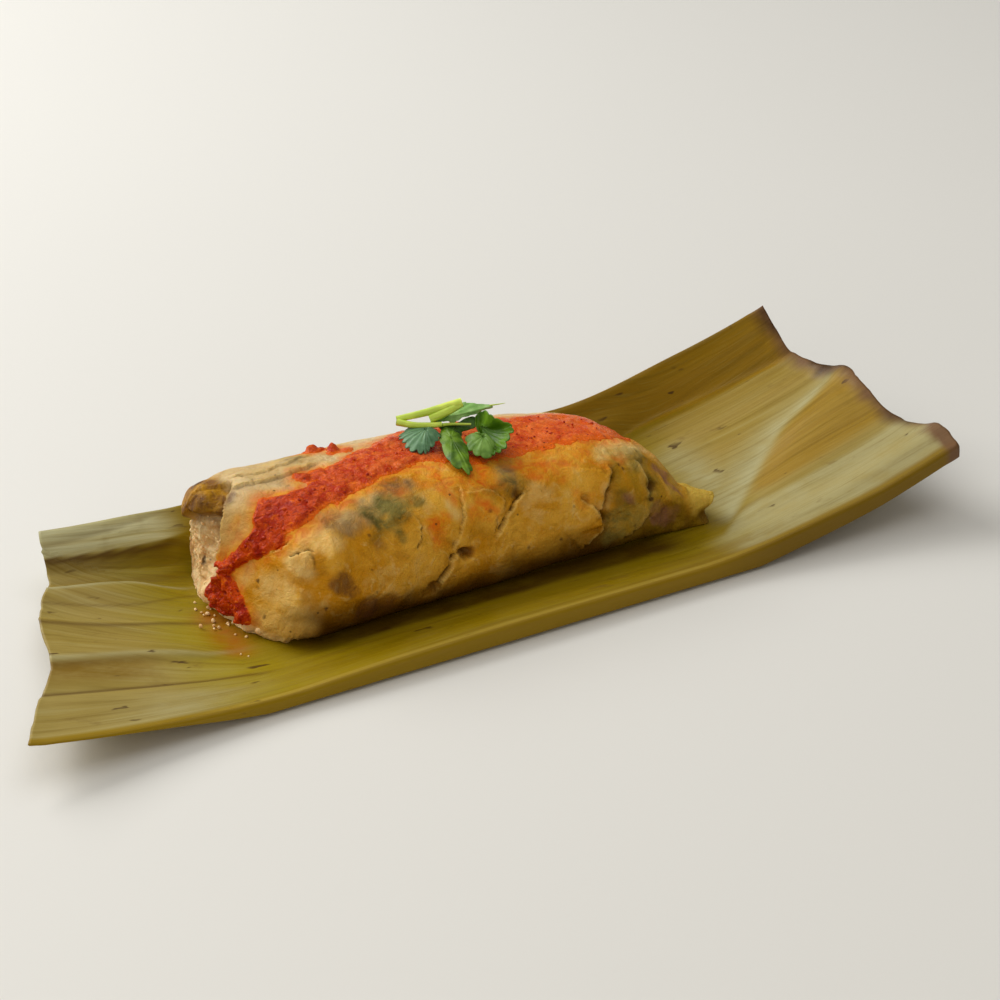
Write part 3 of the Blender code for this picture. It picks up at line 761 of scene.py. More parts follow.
# Dents and pits: x, y, z, radius and depth. A depth below zero is a bump.
DENTS = (
    (60.7, -13.6, 21.4, 4.4, 1.0),
    (64.6, -16.4, 17.6, 4.0, 1.2),
    (57.8, -20.3, 11.2, 4.0, 1.0),
    (62.0, -20.3, 7.6, 4.6, 1.3),
    (54.8, -17.8, 20.4, 1.9, 1.4),
    (31.0, -18.7, 21.8, 1.5, 1.0),
    (40.4, -15.0, 26.9, 1.1, 0.7),
    (10.0, -15.2, 28.0, 1.2, 0.8),
    (-11.0, -21.4, 16.7, 1.9, 2.4),
    (-8.8, -21.4, 16.0, 1.5, 2.0),
    (-21.4, -23.0, 8.6, 1.7, 1.2),
    (-24.0, -23.0, 7.4, 1.4, 0.8),
    (-42.5, -23.4, 7.4, 4.4, 0.8),
    (-37.5, -23.3, 8.4, 3.2, 0.6),
    (-80.0, 11.0, 5.0, 4.6, -2.2),
    (-78.0, 4.0, 5.0, 3.0, -1.0),
    (-76.0, 27.0, 26.0, 8.0, -1.6),
    (-58.0, -15.0, 25.0, 6.0, -0.9),
    (-52.0, -17.5, 25.5, 6.0, -0.6),
)


def masa_surface(share, angle):
    """share runs 0 to 1 from the open end's middle to the tip; angle 0 looks back, pi/2 up."""
    cap, tip_cap = 0.1, 0.05
    near_cap = np.sin(0.5 * math.pi * np.clip(share / cap, 0, 1)) ** 0.8
    far_cap = np.sin(0.5 * math.pi * np.clip((1 - share) / tip_cap, 0, 1)) ** 0.8
    size = near_cap * far_cap
    first, last = MASA_LEFT + 3.0, MASA_RIGHT - 1.5
    x = first + (last - first) * (share - cap) / (1 - cap - tip_cap)
    x = np.where(share < cap, MASA_LEFT + 3.0 * (1 - np.sqrt(np.clip(1 - near_cap**6, 0, 1))), x)
    x = np.where(share > 1 - tip_cap, MASA_RIGHT - 1.5 * (1 - np.sqrt(np.clip(1 - far_cap**4, 0, 1))), x)
    front, back = through(MASA_FRONT, x), through(MASA_BACK, x)
    height, lean = through(MASA_HEIGHT, x), through(MASA_LEAN, x)
    c, s = np.cos(angle), np.sin(angle)
    power = 2 / MASA_SQUARENESS
    across = np.sign(c) * np.abs(c) ** power * size
    up = np.sign(s) * np.abs(s) ** power * size
    y = (front + back) / 2 + across * (back - front) / 2 + up * lean / 2
    bulge = 1.12
    z = MASA_BASE + height / 2 + up * bulge * height / 2 - (bulge - 1) * height / 2
    near = smooth((-45.0 - x) / 35.0)
    slant = (4.5 + 10.5 * smooth((20.0 - y) / 30.0)) * np.maximum(0.0, (z - 6.0) / 26.0) ** 1.3
    bevel = 3.0 * smooth((-4.0 - y) / 16.0) + np.maximum(-0.2 * (y - 16.0), 0.1 * (y - 34.0))
    x = x + near * (slant + bevel)
    return np.stack([x, y, z], -1)


def masa_grid(shares, count, start=0.0, stop=2 * math.pi):
    """The plain surface on rings of evenly spaced points, closer together where they show."""
    dense = np.linspace(start, stop, 1441)
    ring = masa_surface(shares[:, None], dense[None])
    length = np.linalg.norm(np.diff(ring, axis=1), axis=-1)
    length *= np.where(np.sin(dense[:-1]) < -0.25, 0.3, 1.0)
    run = np.concatenate([np.zeros((len(shares), 1)), np.cumsum(length, axis=1)], axis=1)
    share = np.linspace(0, 1, count)
    angles = np.stack([np.interp(share * line[-1], line, dense) for line in run])
    return masa_surface(shares[:, None] * np.ones((1, count)), angles)


def above_leaf(points, gap):
    """The points, raised where they would sink into the leaf."""
    lowest = leaf_top(points[..., 0], points[..., 1]) + gap
    raised = points.copy()
    raised[..., 2] = np.maximum(points[..., 2], lowest)
    return raised


def flared_tip(points):
    """The points, with the pinched tip drawn up and out into its small crust."""
    x, z = points[..., 0], points[..., 2]
    upper = smooth((z - 6.0) / 4.0)
    flare = smooth((x - 70.0) / 4.5)
    uneven = 1 + 0.9 * layers(points, 3.0, 151, 2)
    moved = points.copy()
    moved[..., 2] += 0.3 * flare * upper * uneven - 2.4 * bell(x - 68.4, 2.2) * upper
    moved[..., 0] += 2.6 * flare * upper * uneven
    moved[..., 1] += flare * (2.4 * smooth((9.0 - z) / 4.0) * smooth((z - 2.0) / 3.0) - 0.8 * upper)
    return moved


# The lower edge of the browned lobe over the open end: places across it and heights.
LOBE_EDGE = ((8, 31), (15, 28.8), (21, 26.0), (27, 23.0), (38, 19.0))


def under_lobe(points):
    """How far the points are below the lobe's ragged lower edge."""
    edge = through(LOBE_EDGE, points[..., 1]) + 3.4 * layers(points, 6.0, 77, 2)
    return edge - points[..., 2]


# The near edge of the open end's face: heights and places across it.
SLAB_EDGE = ((4, 7.0), (10, 8.4), (17, 10.0), (24, 11.0), (30, 13.0))


def open_end(points):
    """Where the crumbly inside of the masa shows: the open end's face and its torn foot."""
    shaken = points + 1.3 * np.stack([layers(points, 3.6, 71 + n, 3) for n in (0, 1, 2)], -1)
    x, y, z = shaken[..., 0], shaken[..., 1], shaken[..., 2]
    face = smooth((y - through(SLAB_EDGE, z)) / 0.9 + 0.5) * smooth(under_lobe(shaken) / 1.8 + 0.5)
    face = face * smooth((-67.0 - x) / 2.0)
    top = through([(-20, 2.6), (-14, 3.4), (-4, 4.6), (8, 8.0)], y)
    foot = smooth((top - z) / 0.8 + 0.5) * smooth((-62.5 - x) / 3.0) * smooth((12.0 - y) / 3.0)
    return np.maximum(face, foot)


def masa_relief(points, normals):
    """The raised and sunken detail of the masa, and the marks that its finish reads."""
    low = 0.8 * layers(points, 21.0, 101, 2) + 0.5 * layers(points, 7.0, 103, 3)
    fine = 0.12 * layers(points, 2.2, 107, 2)
    open_share = open_end(points)
    near_one, one = cells(points, 2.6, 111)
    near_two, two = cells(points, 1.3, 117)
    crumb = 0.9 * (0.75 - near_one) + 0.8 * (one - 0.5) + 0.45 * (0.7 - near_two) + 0.4 * (two - 0.5)
    hollow_from = 6.0 - 7.0 * smooth((points[..., 1] - 10.0) / 12.0)
    crumb = crumb + 1.3 * layers(points, 6.0, 119, 3) - 3.8 * smooth((points[..., 2] - hollow_from) / 5.0)
    corner = smooth((-56.0 - points[..., 0]) / 8.0) * smooth((12.0 - points[..., 2]) / 7.0)
    corner = corner * smooth((-6.0 - points[..., 1]) / 8.0)
    lift = (low + fine) * (1 - 0.7 * open_share) + crumb * open_share
    lift = lift + corner * (0.8 * layers(points, 3.2, 121, 2) + 0.35 * (0.7 - near_two))
    tail = smooth((points[..., 0] - 42.0) / 10.0) * smooth((points[..., 2] - 6.0) / 6.0)
    lift = lift + 0.22 * tail * cloud(points * [1.0, 0.25, 0.12], 1.4, 127)
    crack_shade = np.zeros(points.shape[:-1])
    lipped = np.zeros(points.shape[:-1])
    for number, (path, proud, rise, back, drop, low_reach, depth, width) in enumerate(EDGES):
        across, along = across_path(points, normals, ragged_path(path, 1.1, 200 + 7 * number))
        fade = smooth(along / 0.1) * smooth((1 - along) / 0.1)
        side = across * proud + 0.3 * cloud(points, 1.8, 300 + number)
        step = smooth(side / 0.4 + 0.5)
        gash = bell(side + 0.6 * width, width) * fade
        lift = lift + fade * step * rise * np.exp(-np.maximum(side, 0) / back)
        lift = lift - fade * (1 - step) * drop * np.exp(-np.maximum(-side, 0) / low_reach) - depth * gash
        # Painted shade in each gash and on the low side beside a proud edge.
        shade = np.exp(-np.maximum(-side, 0) / (0.3 * low_reach)) * (1 - step) * fade * min(1.0, 0.8 * drop)
        crack_shade = np.maximum(crack_shade, np.maximum(gash * min(1.0, 0.3 + 0.8 * depth), 0.6 * shade))
        # A painted highlight along each proud edge's lip.
        lipped = np.maximum(lipped, bell(side - 0.45, 0.3) * fade * min(0.7, rise))
    shoulder, along = across_path(points, normals, ragged_path(SHOULDER, 0.5, 353))
    lift = lift + 0.9 * bell(shoulder, 1.5) * smooth(along / 0.15)
    pits = np.zeros(points.shape[:-1])
    for number, (x, y, z, radius, depth) in enumerate(DENTS):
        pit = spot_mask(points, ((x, y, z, radius, 1.0),), radius, 0.3 * radius + 0.5, 331 + number)
        lift = lift - depth * pit
        # Small deep dents also get painted shade.
        pits = np.maximum(pits, pit * smooth((depth - 0.5) / 1.2) * (radius < 2.0))
    marks = {"open_end": open_share, "crack_shade": crack_shade, "lip": lipped, "pit": pits, "corner": corner}
    return lift, marks


SHOULDER = (
    (57.5, 4.0, 25.4), (61.3, -1.5, 22.6), (64.8, -6.5, 19.4), (67.0, -11.6, 17.0), (69.0, -15.0, 14.6),
)

# Spots of other colours on the masa: x, y, z, radius and strength.
OLIVE = (
    (-31.4, -13.1, 31.9, 6.5, 1.0),
    (-36.0, -16.5, 30.0, 4.0, 0.6),
    (-26.7, -11.6, 32.5, 4.6, 1.0),
    (-22.5, -12.5, 32.0, 3.6, 0.8),
    (-44.0, -15.0, 30.8, 4.0, 0.3),
    (8.2, -12.6, 30.2, 4.4, 0.9),
    (5.0, -13.4, 29.8, 3.0, 0.8),
    (13.0, -12.0, 30.4, 3.4, 0.6),
    (41.4, -20.2, 14.0, 4.6, 0.9),
    (44.0, -20.0, 18.0, 4.0, 0.6),
    (40.0, -21.0, 7.0, 4.6, 0.8),
    (48.0, -20.2, 12.0, 5.0, 0.6),
    (56.6, -9.6, 25.2, 2.6, 0.7),
    (54.6, -12.6, 25.4, 2.8, 0.9),
    (54.8, -17.6, 20.6, 2.8, 1.0),
    (54.0, -19.4, 17.0, 2.0, 1.0),
    # Olive spot darkening the lobe's shadowed right part: painted shade.
    (-71.5, 21.0, 29.0, 5.0, 0.9),
    (-74.0, 27.0, 25.5, 6.0, 0.6),
    (-72.0, 17.0, 28.0, 3.0, 1.0),
    (-61.3, 19.6, 35.0, 1.8, 0.9),
    (-44.0, 27.0, 34.0, 5.0, 0.4),
)
VIOLET = (
    (-24.6, -3.3, 34.8, 3.6, 1.0),
    (-29.0, -4.5, 34.8, 2.4, 0.6),
    (-40.3, -6.7, 34.3, 2.2, 0.8),
    (-50.1, -11.8, 33.0, 2.4, 0.9),
    (-46.0, -9.6, 33.8, 1.8, 0.6),
    (12.2, -5.4, 32.9, 4.0, 0.75),
    (60.7, -12.7, 22.0, 2.8, 1.0),
    (63.4, -14.4, 19.4, 2.8, 1.0),
    (66.1, -16.4, 16.3, 2.2, 0.9),
    (58.6, -20.3, 9.2, 3.6, 0.9),
    (56.6, -19.9, 13.0, 2.4, 0.6),
    (63.0, -20.3, 8.0, 3.0, 0.8),
    (-69.1, 14.8, 32.5, 1.7, 1.0),
    (-36.9, -20.0, 25.2, 2.2, 0.8),
    (-51.7, -23.1, 19.3, 3.4, 0.9),
    (-48.6, -23.2, 16.4, 2.4, 0.9),
    (-42.5, -23.4, 7.4, 4.6, 0.9),
    (-36.5, -23.3, 8.0, 3.4, 0.7),
    (45.7, -19.4, 18.2, 2.0, 0.7),
    (9.0, -15.0, 28.4, 1.8, 0.7),
    (-46.5, 22.0, 35.0, 3.4, 0.3),
    (-55.0, 8.0, 35.0, 3.0, 0.35),
)
MAUVE = (
    (-48.7, -11.6, 32.8, 4.6, 0.9),
    (-45.7, -14.1, 31.6, 3.6, 0.9),
    (-41.0, -12.0, 32.6, 4.6, 0.8),
    (-35.5, -10.4, 33.4, 5.0, 0.9),
    (-29.0, -8.0, 34.0, 4.6, 0.9),
    (-22.5, -7.0, 33.8, 4.0, 0.7),
    (-62.0, 12.0, 34.6, 4.0, 0.5),
    (-52.0, 12.5, 35.2, 4.0, 0.5),
    (10.0, -9.5, 31.6, 3.6, 0.8),
)
# Painted highlights, in pale cream, on raised skin by the cracks, the shoulder and the lit front-left: x, y,
# z, radius and strength.
CREAM_HIGHLIGHTS = (
    (50.5, -5.8, 29.2, 6.0, 1.0),
    (55.0, -4.5, 27.6, 5.0, 1.0),
    (44.0, -8.5, 30.6, 4.0, 0.8),
    (55.9, -11.3, 25.6, 2.2, 0.6),
    (61.3, -1.5, 22.5, 3.0, 0.8),
    (64.8, -6.5, 19.4, 2.6, 0.8),
    (66.6, -10.6, 17.4, 2.0, 0.8),
    (-59.0, -15.0, 23.0, 5.0, 0.7),
    (-53.0, -14.0, 29.0, 5.0, 0.6),
    (-66.0, -12.0, 16.0, 6.0, 0.5),
    (-62.0, -20.0, 10.0, 5.0, 0.4),
    (-44.0, -10.0, 33.2, 4.0, 0.5),
    (-36.0, -6.0, 34.4, 4.0, 0.5),
    (35.0, -20.0, 18.4, 2.6, 0.8),
    (38.6, -17.4, 22.6, 2.4, 0.5),
    (46.0, -10.0, 29.4, 4.0, 0.4),
    (16.0, -16.4, 26.8, 4.0, 0.4),
    (-12.0, -14.0, 29.6, 3.4, 0.5),
    (-70.0, 4.0, 25.0, 5.0, 0.5),
    (-72.6, -2.0, 17.0, 4.0, 0.5),
)
OIL = (
    (-0.1, -4.6, 33.6, 7.0, 1.0),
    (4.0, -9.0, 32.2, 4.0, 0.7),
    (-13.7, -5.4, 34.1, 3.2, 1.0),
    (-9.0, -10.0, 32.6, 5.0, 0.7),
    (-17.1, -18.3, 26.6, 3.6, 0.9),
    (-16.6, -20.0, 23.4, 2.2, 0.9),
    (-2.4, -16.2, 28.0, 3.4, 0.9),
    (-0.4, -17.6, 26.1, 2.4, 0.8),
    (-30.8, -5.3, 34.6, 2.2, 0.8),
    (-24.0, -7.6, 33.8, 3.4, 0.5),
    (26.5, -11.8, 30.2, 4.2, 0.7),
    (19.0, -8.0, 32.0, 6.0, 0.8),
    (36.0, -8.0, 31.0, 5.0, 0.6),
    (40.8, -13.6, 27.8, 2.4, 0.6),
    (30.4, -18.0, 22.6, 2.8, 0.8),
    (46.5, -12.0, 28.0, 2.0, 0.6),
    (-70.4, 7.2, 28.4, 3.0, 0.5),
    (-72.6, 4.4, 22.0, 3.0, 0.4),
)
# Small dark flecks: x, y, z, radius and strength.
FLECKS = (
    (-79.5, 20.9, 10.6, 1.5, 0.9),
    (-79.0, 18.6, 20.0, 0.6, 0.6),
    (-39.6, -17.4, 28.9, 0.5, 0.8),
    (-41.0, -21.9, 20.2, 0.5, 0.9),
    (-40.3, -23.0, 12.9, 0.6, 0.8),
    (-56.5, -23.6, 12.7, 0.5, 0.9),
    (-69.9, -6.3, 16.5, 0.6, 1.0),
    (-70.3, -7.0, 15.2, 0.4, 0.8),
    (-71.0, -12.3, 8.0, 0.5, 1.0),
    (-66.6, -20.4, 6.5, 0.6, 0.8),
    (-63.3, -21.9, 7.1, 0.5, 0.6),
    (-59.3, -23.6, 6.9, 0.5, 0.6),
    (21.8, -21.0, 12.3, 0.5, 0.9),
    (10.2, -21.3, 12.4, 0.6, 0.7),
    (19.0, -21.7, 7.8, 0.5, 0.6),
    (-0.1, -17.6, 26.1, 0.7, 0.6),
    (26.5, -19.2, 20.8, 0.5, 0.7),
    (45.9, -13.4, 27.4, 0.5, 0.9),
    (46.7, -14.4, 26.5, 0.5, 1.0),
    (47.7, -20.7, 9.3, 0.8, 0.9),
    (-72.3, 29.6, 29.9, 1.3, 0.9),
    (-72.6, 27.4, 28.6, 1.0, 0.7),
    (-73.2, 24.6, 29.0, 1.1, 0.8),
    (-46.3, 24.0, 34.9, 0.7, 0.8),
    (-52.0, 10.0, 35.3, 0.5, 0.6),
    (55.6, -7.6, 26.8, 0.5, 0.9),
    (56.4, -9.4, 26.2, 0.5, 0.9),
    (55.6, -11.4, 25.8, 0.5, 0.9),
    (53.8, -19.6, 16.6, 0.9, 1.0),
)


def masa_body():
    """The masa's finished surface as a grid, with its normals and marks."""
    open_rings = np.linspace(0.0, 0.1, 62)[1:]
    body_rings = np.linspace(0.1, 0.95, 330)[1:]
    tip_rings = np.linspace(0.95, 1.0, 22)[1:-1]
    around = 241
    shares = np.concatenate([open_rings, body_rings, tip_rings])
    base = masa_grid(shares, around)[:, :-1]
    normal = grid_normals(base, True)
    normal *= np.sign(normal[len(shares) // 2, around // 4, 2])
    lift, marks = masa_relief(base, normal)
    grid = above_leaf(flared_tip(base + normal * lift[..., None]), SKIN_GAP)
    facing = grid_normals(grid, True)
    facing *= np.sign(facing[len(shares) // 2, around // 4, 2])
    return base, grid, facing, marks


def make_masa(look):
    """The masa's closed body, with the marks of its stains, its crumb and its browned lobe, and of its
    painted shade and highlights.
    """
    base, grid, _, marks = masa_body()
    rows, around = grid.shape[:2]
    points = np.concatenate([grid.reshape(-1, 3), [grid[0].mean(0), grid[-1].mean(0)]])
    faces = [tuple(f) for f in quads(rows, around, wraps=True)] + end_caps(rows, around)
    marks["olive"] = spot_mask(base, OLIVE, 4.0, 4.0, 401)
    marks["violet"] = spot_mask(base, VIOLET, 2.2, 3.0, 409)
    marks["mauve"] = spot_mask(base, MAUVE, 4.5, 4.0, 411)
    marks["cream_highlight"] = spot_mask(base, CREAM_HIGHLIGHTS, 4.5, 4.0, 413)
    marks["fleck"] = spot_mask(base, FLECKS, 0.5, 0.8, 415)
    oil = spot_mask(base, OIL, 4.0, 4.0, 419)
    halo = np.clip(1.0 + salsa_edge(base) / (5.0 + 5.0 * layers(base, 7.0, 431, 2)), 0, 1)
    marks["oil"] = np.clip(np.maximum(oil, 0.9 * halo), 0, 1)
    x, y, z = base[..., 0], base[..., 1], base[..., 2]
    # Paler on the top and towards the back: partly the masa's own skin, partly painted light on the top
    # against painted shade on the golden front.
    marks["pale"] = smooth((y + 4.0 + 8 * layers(base, 9.0, 441, 2)) / 20.0) * smooth((z - 14.0) / 14.0)
    # Painted shade low on the front, where the masa curves under, but not on the crumbly corner.
    low = smooth((15.0 - z + 6 * layers(base, 12.0, 443, 2)) / 11.0)
    marks["low"] = low * smooth((-4.0 - y) / 8.0) * (1 - marks["corner"])
    marks["tail"] = smooth((x - 38.0) / 8.0) * smooth((-2.0 - y) / 10.0)
    # Painted shade in the crevice beside the slab's edge at the open end.
    gap = y - 2.2 - through(SLAB_EDGE, z) + 1.6 * layers(base, 3.6, 453, 2)
    marks["crevice_shade"] = bell(gap, 1.8) * smooth((-67.0 - x) / 2.0) * smooth((z - 8.0) / 5.0)
    rim = through([(16, 31), (22, 30), (30, 27), (36, 23)], y)
    marks["lobe"] = smooth((-65.0 - x) / 4.0) * smooth((y - 14.0) / 3.0)
    marks["lobe"] = marks["lobe"] * smooth((1.6 - under_lobe(base)) / 3.0)
    # Painted shade in a band just under the lobe's ragged lower edge.
    sunk = z - rim + 2.6 + 3.0 * layers(base, 4.0, 447, 2)
    marks["deep"] = bell(y - 21.5, 6.0) * bell(sunk, 5.0) * smooth((-66.0 - x) / 3.0)
    marks["tip"] = smooth((x - 68.0) / 3.0) * smooth((z - 5.0) / 3.0)
    values = {key: np.concatenate([m.ravel(), [m[0].mean(), m[-1].mean()]]) for key, m in marks.items()}
    return make_piece("masa_body", points, faces, masa_finish(look), "masa", values)


def masa_finish(look):
    """Golden skin in front and pale behind, partly painted shade on the front and light on the top, under
    the masa's marks and dark specks.
    """
    r = Recipe("steamed masa")
    grain = r.noise(1100.0, 4.0, 0.6)
    mottle = r.noise(260.0, 5.0, 0.65, None, 0.6)
    marble = r.noise(120.0, 5.0, 0.6, None, 1.2)
    broad = r.noise(60.0, 4.0, 0.6)
    wide = r.noise(38.0, 2.0, 0.5)
    streaks = r.noise(300.0, 3.0, 0.6, r.stretched((1.0, 0.3, 0.12)))
    golden = r.blend(broad, look.masa_deep, look.masa_golden, 0.38, 0.62)
    # Golden front and pale top: partly painted shade and light.
    colour = r.mix(r.value("pale"), golden, r.blend(wide, look.masa_pale, (208, 176, 116)))
    colour = r.over(colour, (226, 186, 106), r.band(marble, 0.5, 0.66, 0.0, 0.4))
    colour = r.over(colour, (164, 110, 14), r.band(marble, 0.34, 0.48, 0.4, 0.0))
    colour = r.over(colour, (238, 200, 120), r.band(mottle, 0.55, 0.72, 0.0, 0.5))
    # Painted highlights in pale cream.
    colour = r.over(colour, (236, 204, 132), "cream_highlight", r.band(mottle, 0.3, 0.6, 0.5, 0.9))
    # Painted shade low on the front.
    colour = r.over(colour, (76, 46, 0), "low", 0.92)
    patchy = r.band(mottle, 0.3, 0.6, 0.45, 1.0)
    colour = r.over(colour, (158, 130, 94), "mauve", patchy, 0.8)
    colour = r.over(colour, (156, 124, 22), "tail", r.band(streaks, 0.36, 0.62, 0.3, 0.65))
    olive = r.blend(broad, (72, 66, 14), (136, 124, 60), 0.4, 0.6)
    colour = r.over(colour, olive, "olive", patchy, 0.95)
    violet = r.mix(r.value("pale"), linear((100, 60, 34)), linear((118, 98, 96)))
    violet = r.over(violet, (146, 98, 78), "tail")
    colour = r.over(colour, violet, "violet", patchy, 0.8)
    oil_tone = r.blend(mottle, (222, 100, 4), (232, 148, 20), 0.4, 0.6)
    colour = r.over(colour, oil_tone, "oil", r.band(marble, 0.3, 0.62, 0.45, 1.0))
    crumbs = r.blend(mottle, look.masa_inside, (232, 186, 126))
    colour = r.over(colour, crumbs, "open_end")
    # Painted shade in the crevice.
    colour = r.over(colour, (110, 64, 18), "crevice_shade", r.band(mottle, 0.3, 0.6, 0.6, 1.0))
    colour = r.over(colour, (224, 184, 104), "corner", 0.6)
    browned = r.blend(mottle, (122, 74, 0), (196, 140, 8))
    colour = r.over(colour, browned, "lobe", 0.95)
    # Painted shade under the lobe's edge.
    colour = r.over(colour, (76, 38, 0), "deep", r.band(mottle, 0.3, 0.6, 0.95, 0.7))
    colour = r.over(colour, (222, 186, 78), "tip", 0.7)
    # Painted highlight on the proud lips.
    colour = r.over(colour, (240, 204, 118), "lip", 0.7)
    # Painted shade in the cracks and beside the proud edges.
    colour = r.over(colour, (76, 46, 4), "crack_shade", 0.88)
    # Painted shade in the small deep pits.
    colour = r.over(colour, (86, 36, 8), "pit", 0.7)
    colour = r.over(colour, (62, 38, 18), "fleck", 0.85)
    specks = r.grains(300.0)
    sparse = r.band(r.noise(150.0, 1.0, 0.5, r.stretched((1, 1, 1), (0.3, 0.1, 0.2))), 0.58, 0.64)
    colour = r.over(colour, (70, 50, 22), r.band(specks, 0.07, 0.15, 1.0, 0.0), sparse, 0.7)
    rough = r.band(marble, 0.35, 0.65, 0.3, 0.55)
    normal = r.bump(grain, 0.0004, 0.7)
    normal = r.bump(mottle, 0.0014, 0.65, normal)
    return r.finish(
        colour, rough, normal, Subsurface_Weight=0.1, Subsurface_Radius=(0.003, 0.0012, 0.0004),
        Subsurface_Scale=1.0, Specular_IOR_Level=0.1,
    )


# ------------------------------------------------------------ the salsa


# The middle of the spread, from the foot of the open end along the top, with its half-width.
SALSA_SPREAD = (
    (-74.0, -7.0, 5.5, 1.4),
    (-75.0, -2.5, 6.5, 3.4),
    (-76.0, 3.0, 8.5, 5.4),
    (-76.6, 6.4, 10.5, 5.6),
    (-76.2, 6.5, 14.0, 3.4),
    (-74.2, 4.6, 17.0, 2.4),
    (-71.8, 2.8, 19.8, 2.4),
    (-69.2, 0.8, 22.6, 2.7),
    (-66.4, -1.2, 26.0, 3.8),
    (-63.0, -2.2, 29.6, 5.6),
    (-59.0, -0.6, 33.6, 7.7),
    (-54.0, -0.2, 35.0, 7.2),
    (-50.0, 0.4, 35.2, 6.6),
    (-44.0, 2.0, 35.4, 7.2),
    (-38.0, 4.2, 35.5, 7.4),
    (-32.0, 6.8, 35.4, 8.2),
    (-22.0, 10.0, 35.2, 9.2),
    (-16.0, 12.2, 35.0, 9.5),
    (-10.0, 13.8, 34.5, 11.0),
    (-3.0, 14.1, 34.0, 14.6),
    (7.0, 12.6, 33.6, 15.4),
    (14.0, 11.0, 33.3, 14.0),
    (24.0, 8.8, 33.2, 11.5),
    (36.0, 7.9, 32.0, 11.3),
    (45.0, 8.4, 30.2, 11.0),
    (50.0, 7.2, 28.8, 8.6),
    (54.5, 4.0, 27.5, 4.6),
    (57.5, 2.0, 25.4, 1.5),
)

# Lumps of salsa beside the spread: x, y, z, radius and thickness.
SALSA_LUMPS = (
    (-36.6, 28.4, 33.6, 3.0, 3.6),
    (-34.0, 26.8, 34.2, 1.8, 2.4),
    (-31.6, 23.6, 34.9, 2.8, 2.4),
    (-29.0, 21.6, 35.1, 2.2, 1.6),
    (-46.4, 11.4, 35.4, 3.8, 1.2),
    (-42.0, 10.8, 35.5, 4.6, 1.0),
    (-37.0, 10.6, 35.6, 4.0, 0.8),
)


def salsa_edge(points):
    """The distance inside the salsa's edge; negative outside it."""
    knots = np.array(SALSA_SPREAD)
    places = np.arange(len(knots))
    steps = np.linspace(0, len(knots) - 1, 160)
    spread = np.stack([through(list(zip(places, column)), steps) for column in knots.T], -1)
    shares = np.linspace(0.002, 0.97, 200)
    surface = masa_grid(shares, 150, math.radians(10), math.radians(290)).reshape(-1, 3)
    edge = np.full(points.shape[:-1], -99.0)
    for spot, width in zip(spread[:, :3], spread[:, 3]):
        on_masa = surface[np.linalg.norm(surface - spot, axis=-1).argmin()]
        edge = np.maximum(edge, width - np.linalg.norm(points - on_masa, axis=-1))
    for x, y, z, radius, _ in SALSA_LUMPS:
        edge = np.maximum(edge, radius - np.linalg.norm(points - np.array([x, y, z]), axis=-1))
    return edge


def make_salsa(look):
    """The spread, as a closed skin over the masa whose rim sinks just under its surface."""
    shares = np.concatenate([np.linspace(0.004, 0.1, 90), np.linspace(0.1, 0.92, 400)[1:]])
    base = masa_grid(shares, 280, math.radians(25), math.radians(285))
    normal = grid_normals(base, False)
    normal *= np.sign(normal[250, 100, 2])
    lift, _ = masa_relief(base, normal)
    body = above_leaf(flared_tip(base + normal * lift[..., None]), SKIN_GAP)
    ragged = 1.8 * layers(base, 8.0, 501, 3) + 2.0 * layers(base * [1.0, 0.7, 0.7], 2.4, 509, 3)
    steep = smooth((-62.0 - base[..., 0]) / 5.0)
    edge = salsa_edge(base) + ragged * (1 - 0.5 * steep) + 0.3 * steep
    near_one, one = cells(base, 2.6, 511)
    pulp = 0.6 * layers(base, 5.0, 519, 3) + 0.25 * (0.6 - near_one) + 0.25 * (one - 0.5)
    pulp = pulp + 0.2 * layers(base, 1.6, 517, 2)
    stations = [(-80, 2.6), (-72, 2.0), (-66, 1.2), (-45, 1.1), (-10, 1.0), (20, 0.55), (60, 0.35)]
    thick = through(stations, base[..., 0])
    for x, y, z, radius, height in SALSA_LUMPS:
        away = np.linalg.norm(base - np.array([x, y, z]), axis=-1)
        thick = np.maximum(thick, height * smooth(1.5 - away / radius))
    slope = through([(-70, 2.0), (-50, 3.6), (0, 4.5)], base[..., 0])
    depth = thick * smooth((edge + 0.3) / slope) * (0.8 + 0.9 * pulp)
    depth = depth + 0.08 * cloud(base, 0.9, 523) * smooth(edge / 2.0)
    depth = np.where(edge > 0, np.maximum(depth, 0.12 * smooth(edge / 0.5)), -0.3)
    top = above_leaf(body + normal * depth[..., None], SALSA_GAP)
    under = body - normal * 0.7
    kept = edge > -0.35
    rows, columns = kept.shape
    face_kept = kept[:-1, :-1] | kept[1:, :-1] | kept[:-1, 1:] | kept[1:, 1:]
    faces = quads(rows, columns).reshape(rows - 1, columns - 1, 4)[face_kept]
    points, faces, used = closed_skin(top.reshape(-1, 3), under.reshape(-1, 3), faces)
    tone = through([(-80, 1.0), (-52, 0.95), (-38, 0.55), (0, 0.35), (50, 0.0)], base[..., 0])
    marks = {"edge": edge, "tone": tone, "height": depth}
    values = {key: np.concatenate([m.ravel(), m.ravel()])[used] for key, m in marks.items()}
    return make_piece("salsa_spread", points, faces, salsa_finish(look), "salsa", values)


def closed_skin(top, under, faces):
    """A closed body from the faces' upper points, their lower points and the rim between them."""
    count = len(top)
    pairs = {}
    for face in faces.tolist():
        for a, b in zip(face, face[1:] + face[:1]):
            pairs[(a, b)] = True
    rim = [(b, a, a + count, b + count) for (a, b) in pairs if (b, a) not in pairs]
    all_faces = faces.tolist() + (faces + count)[:, ::-1].tolist() + rim
    used = np.unique(np.array([n for f in all_faces for n in f]))
    renumber = np.full(2 * count, -1)
    renumber[used] = np.arange(len(used))
    points = np.concatenate([top, under])[used]
    return points, [[int(renumber[n]) for n in f] for f in all_faces], used


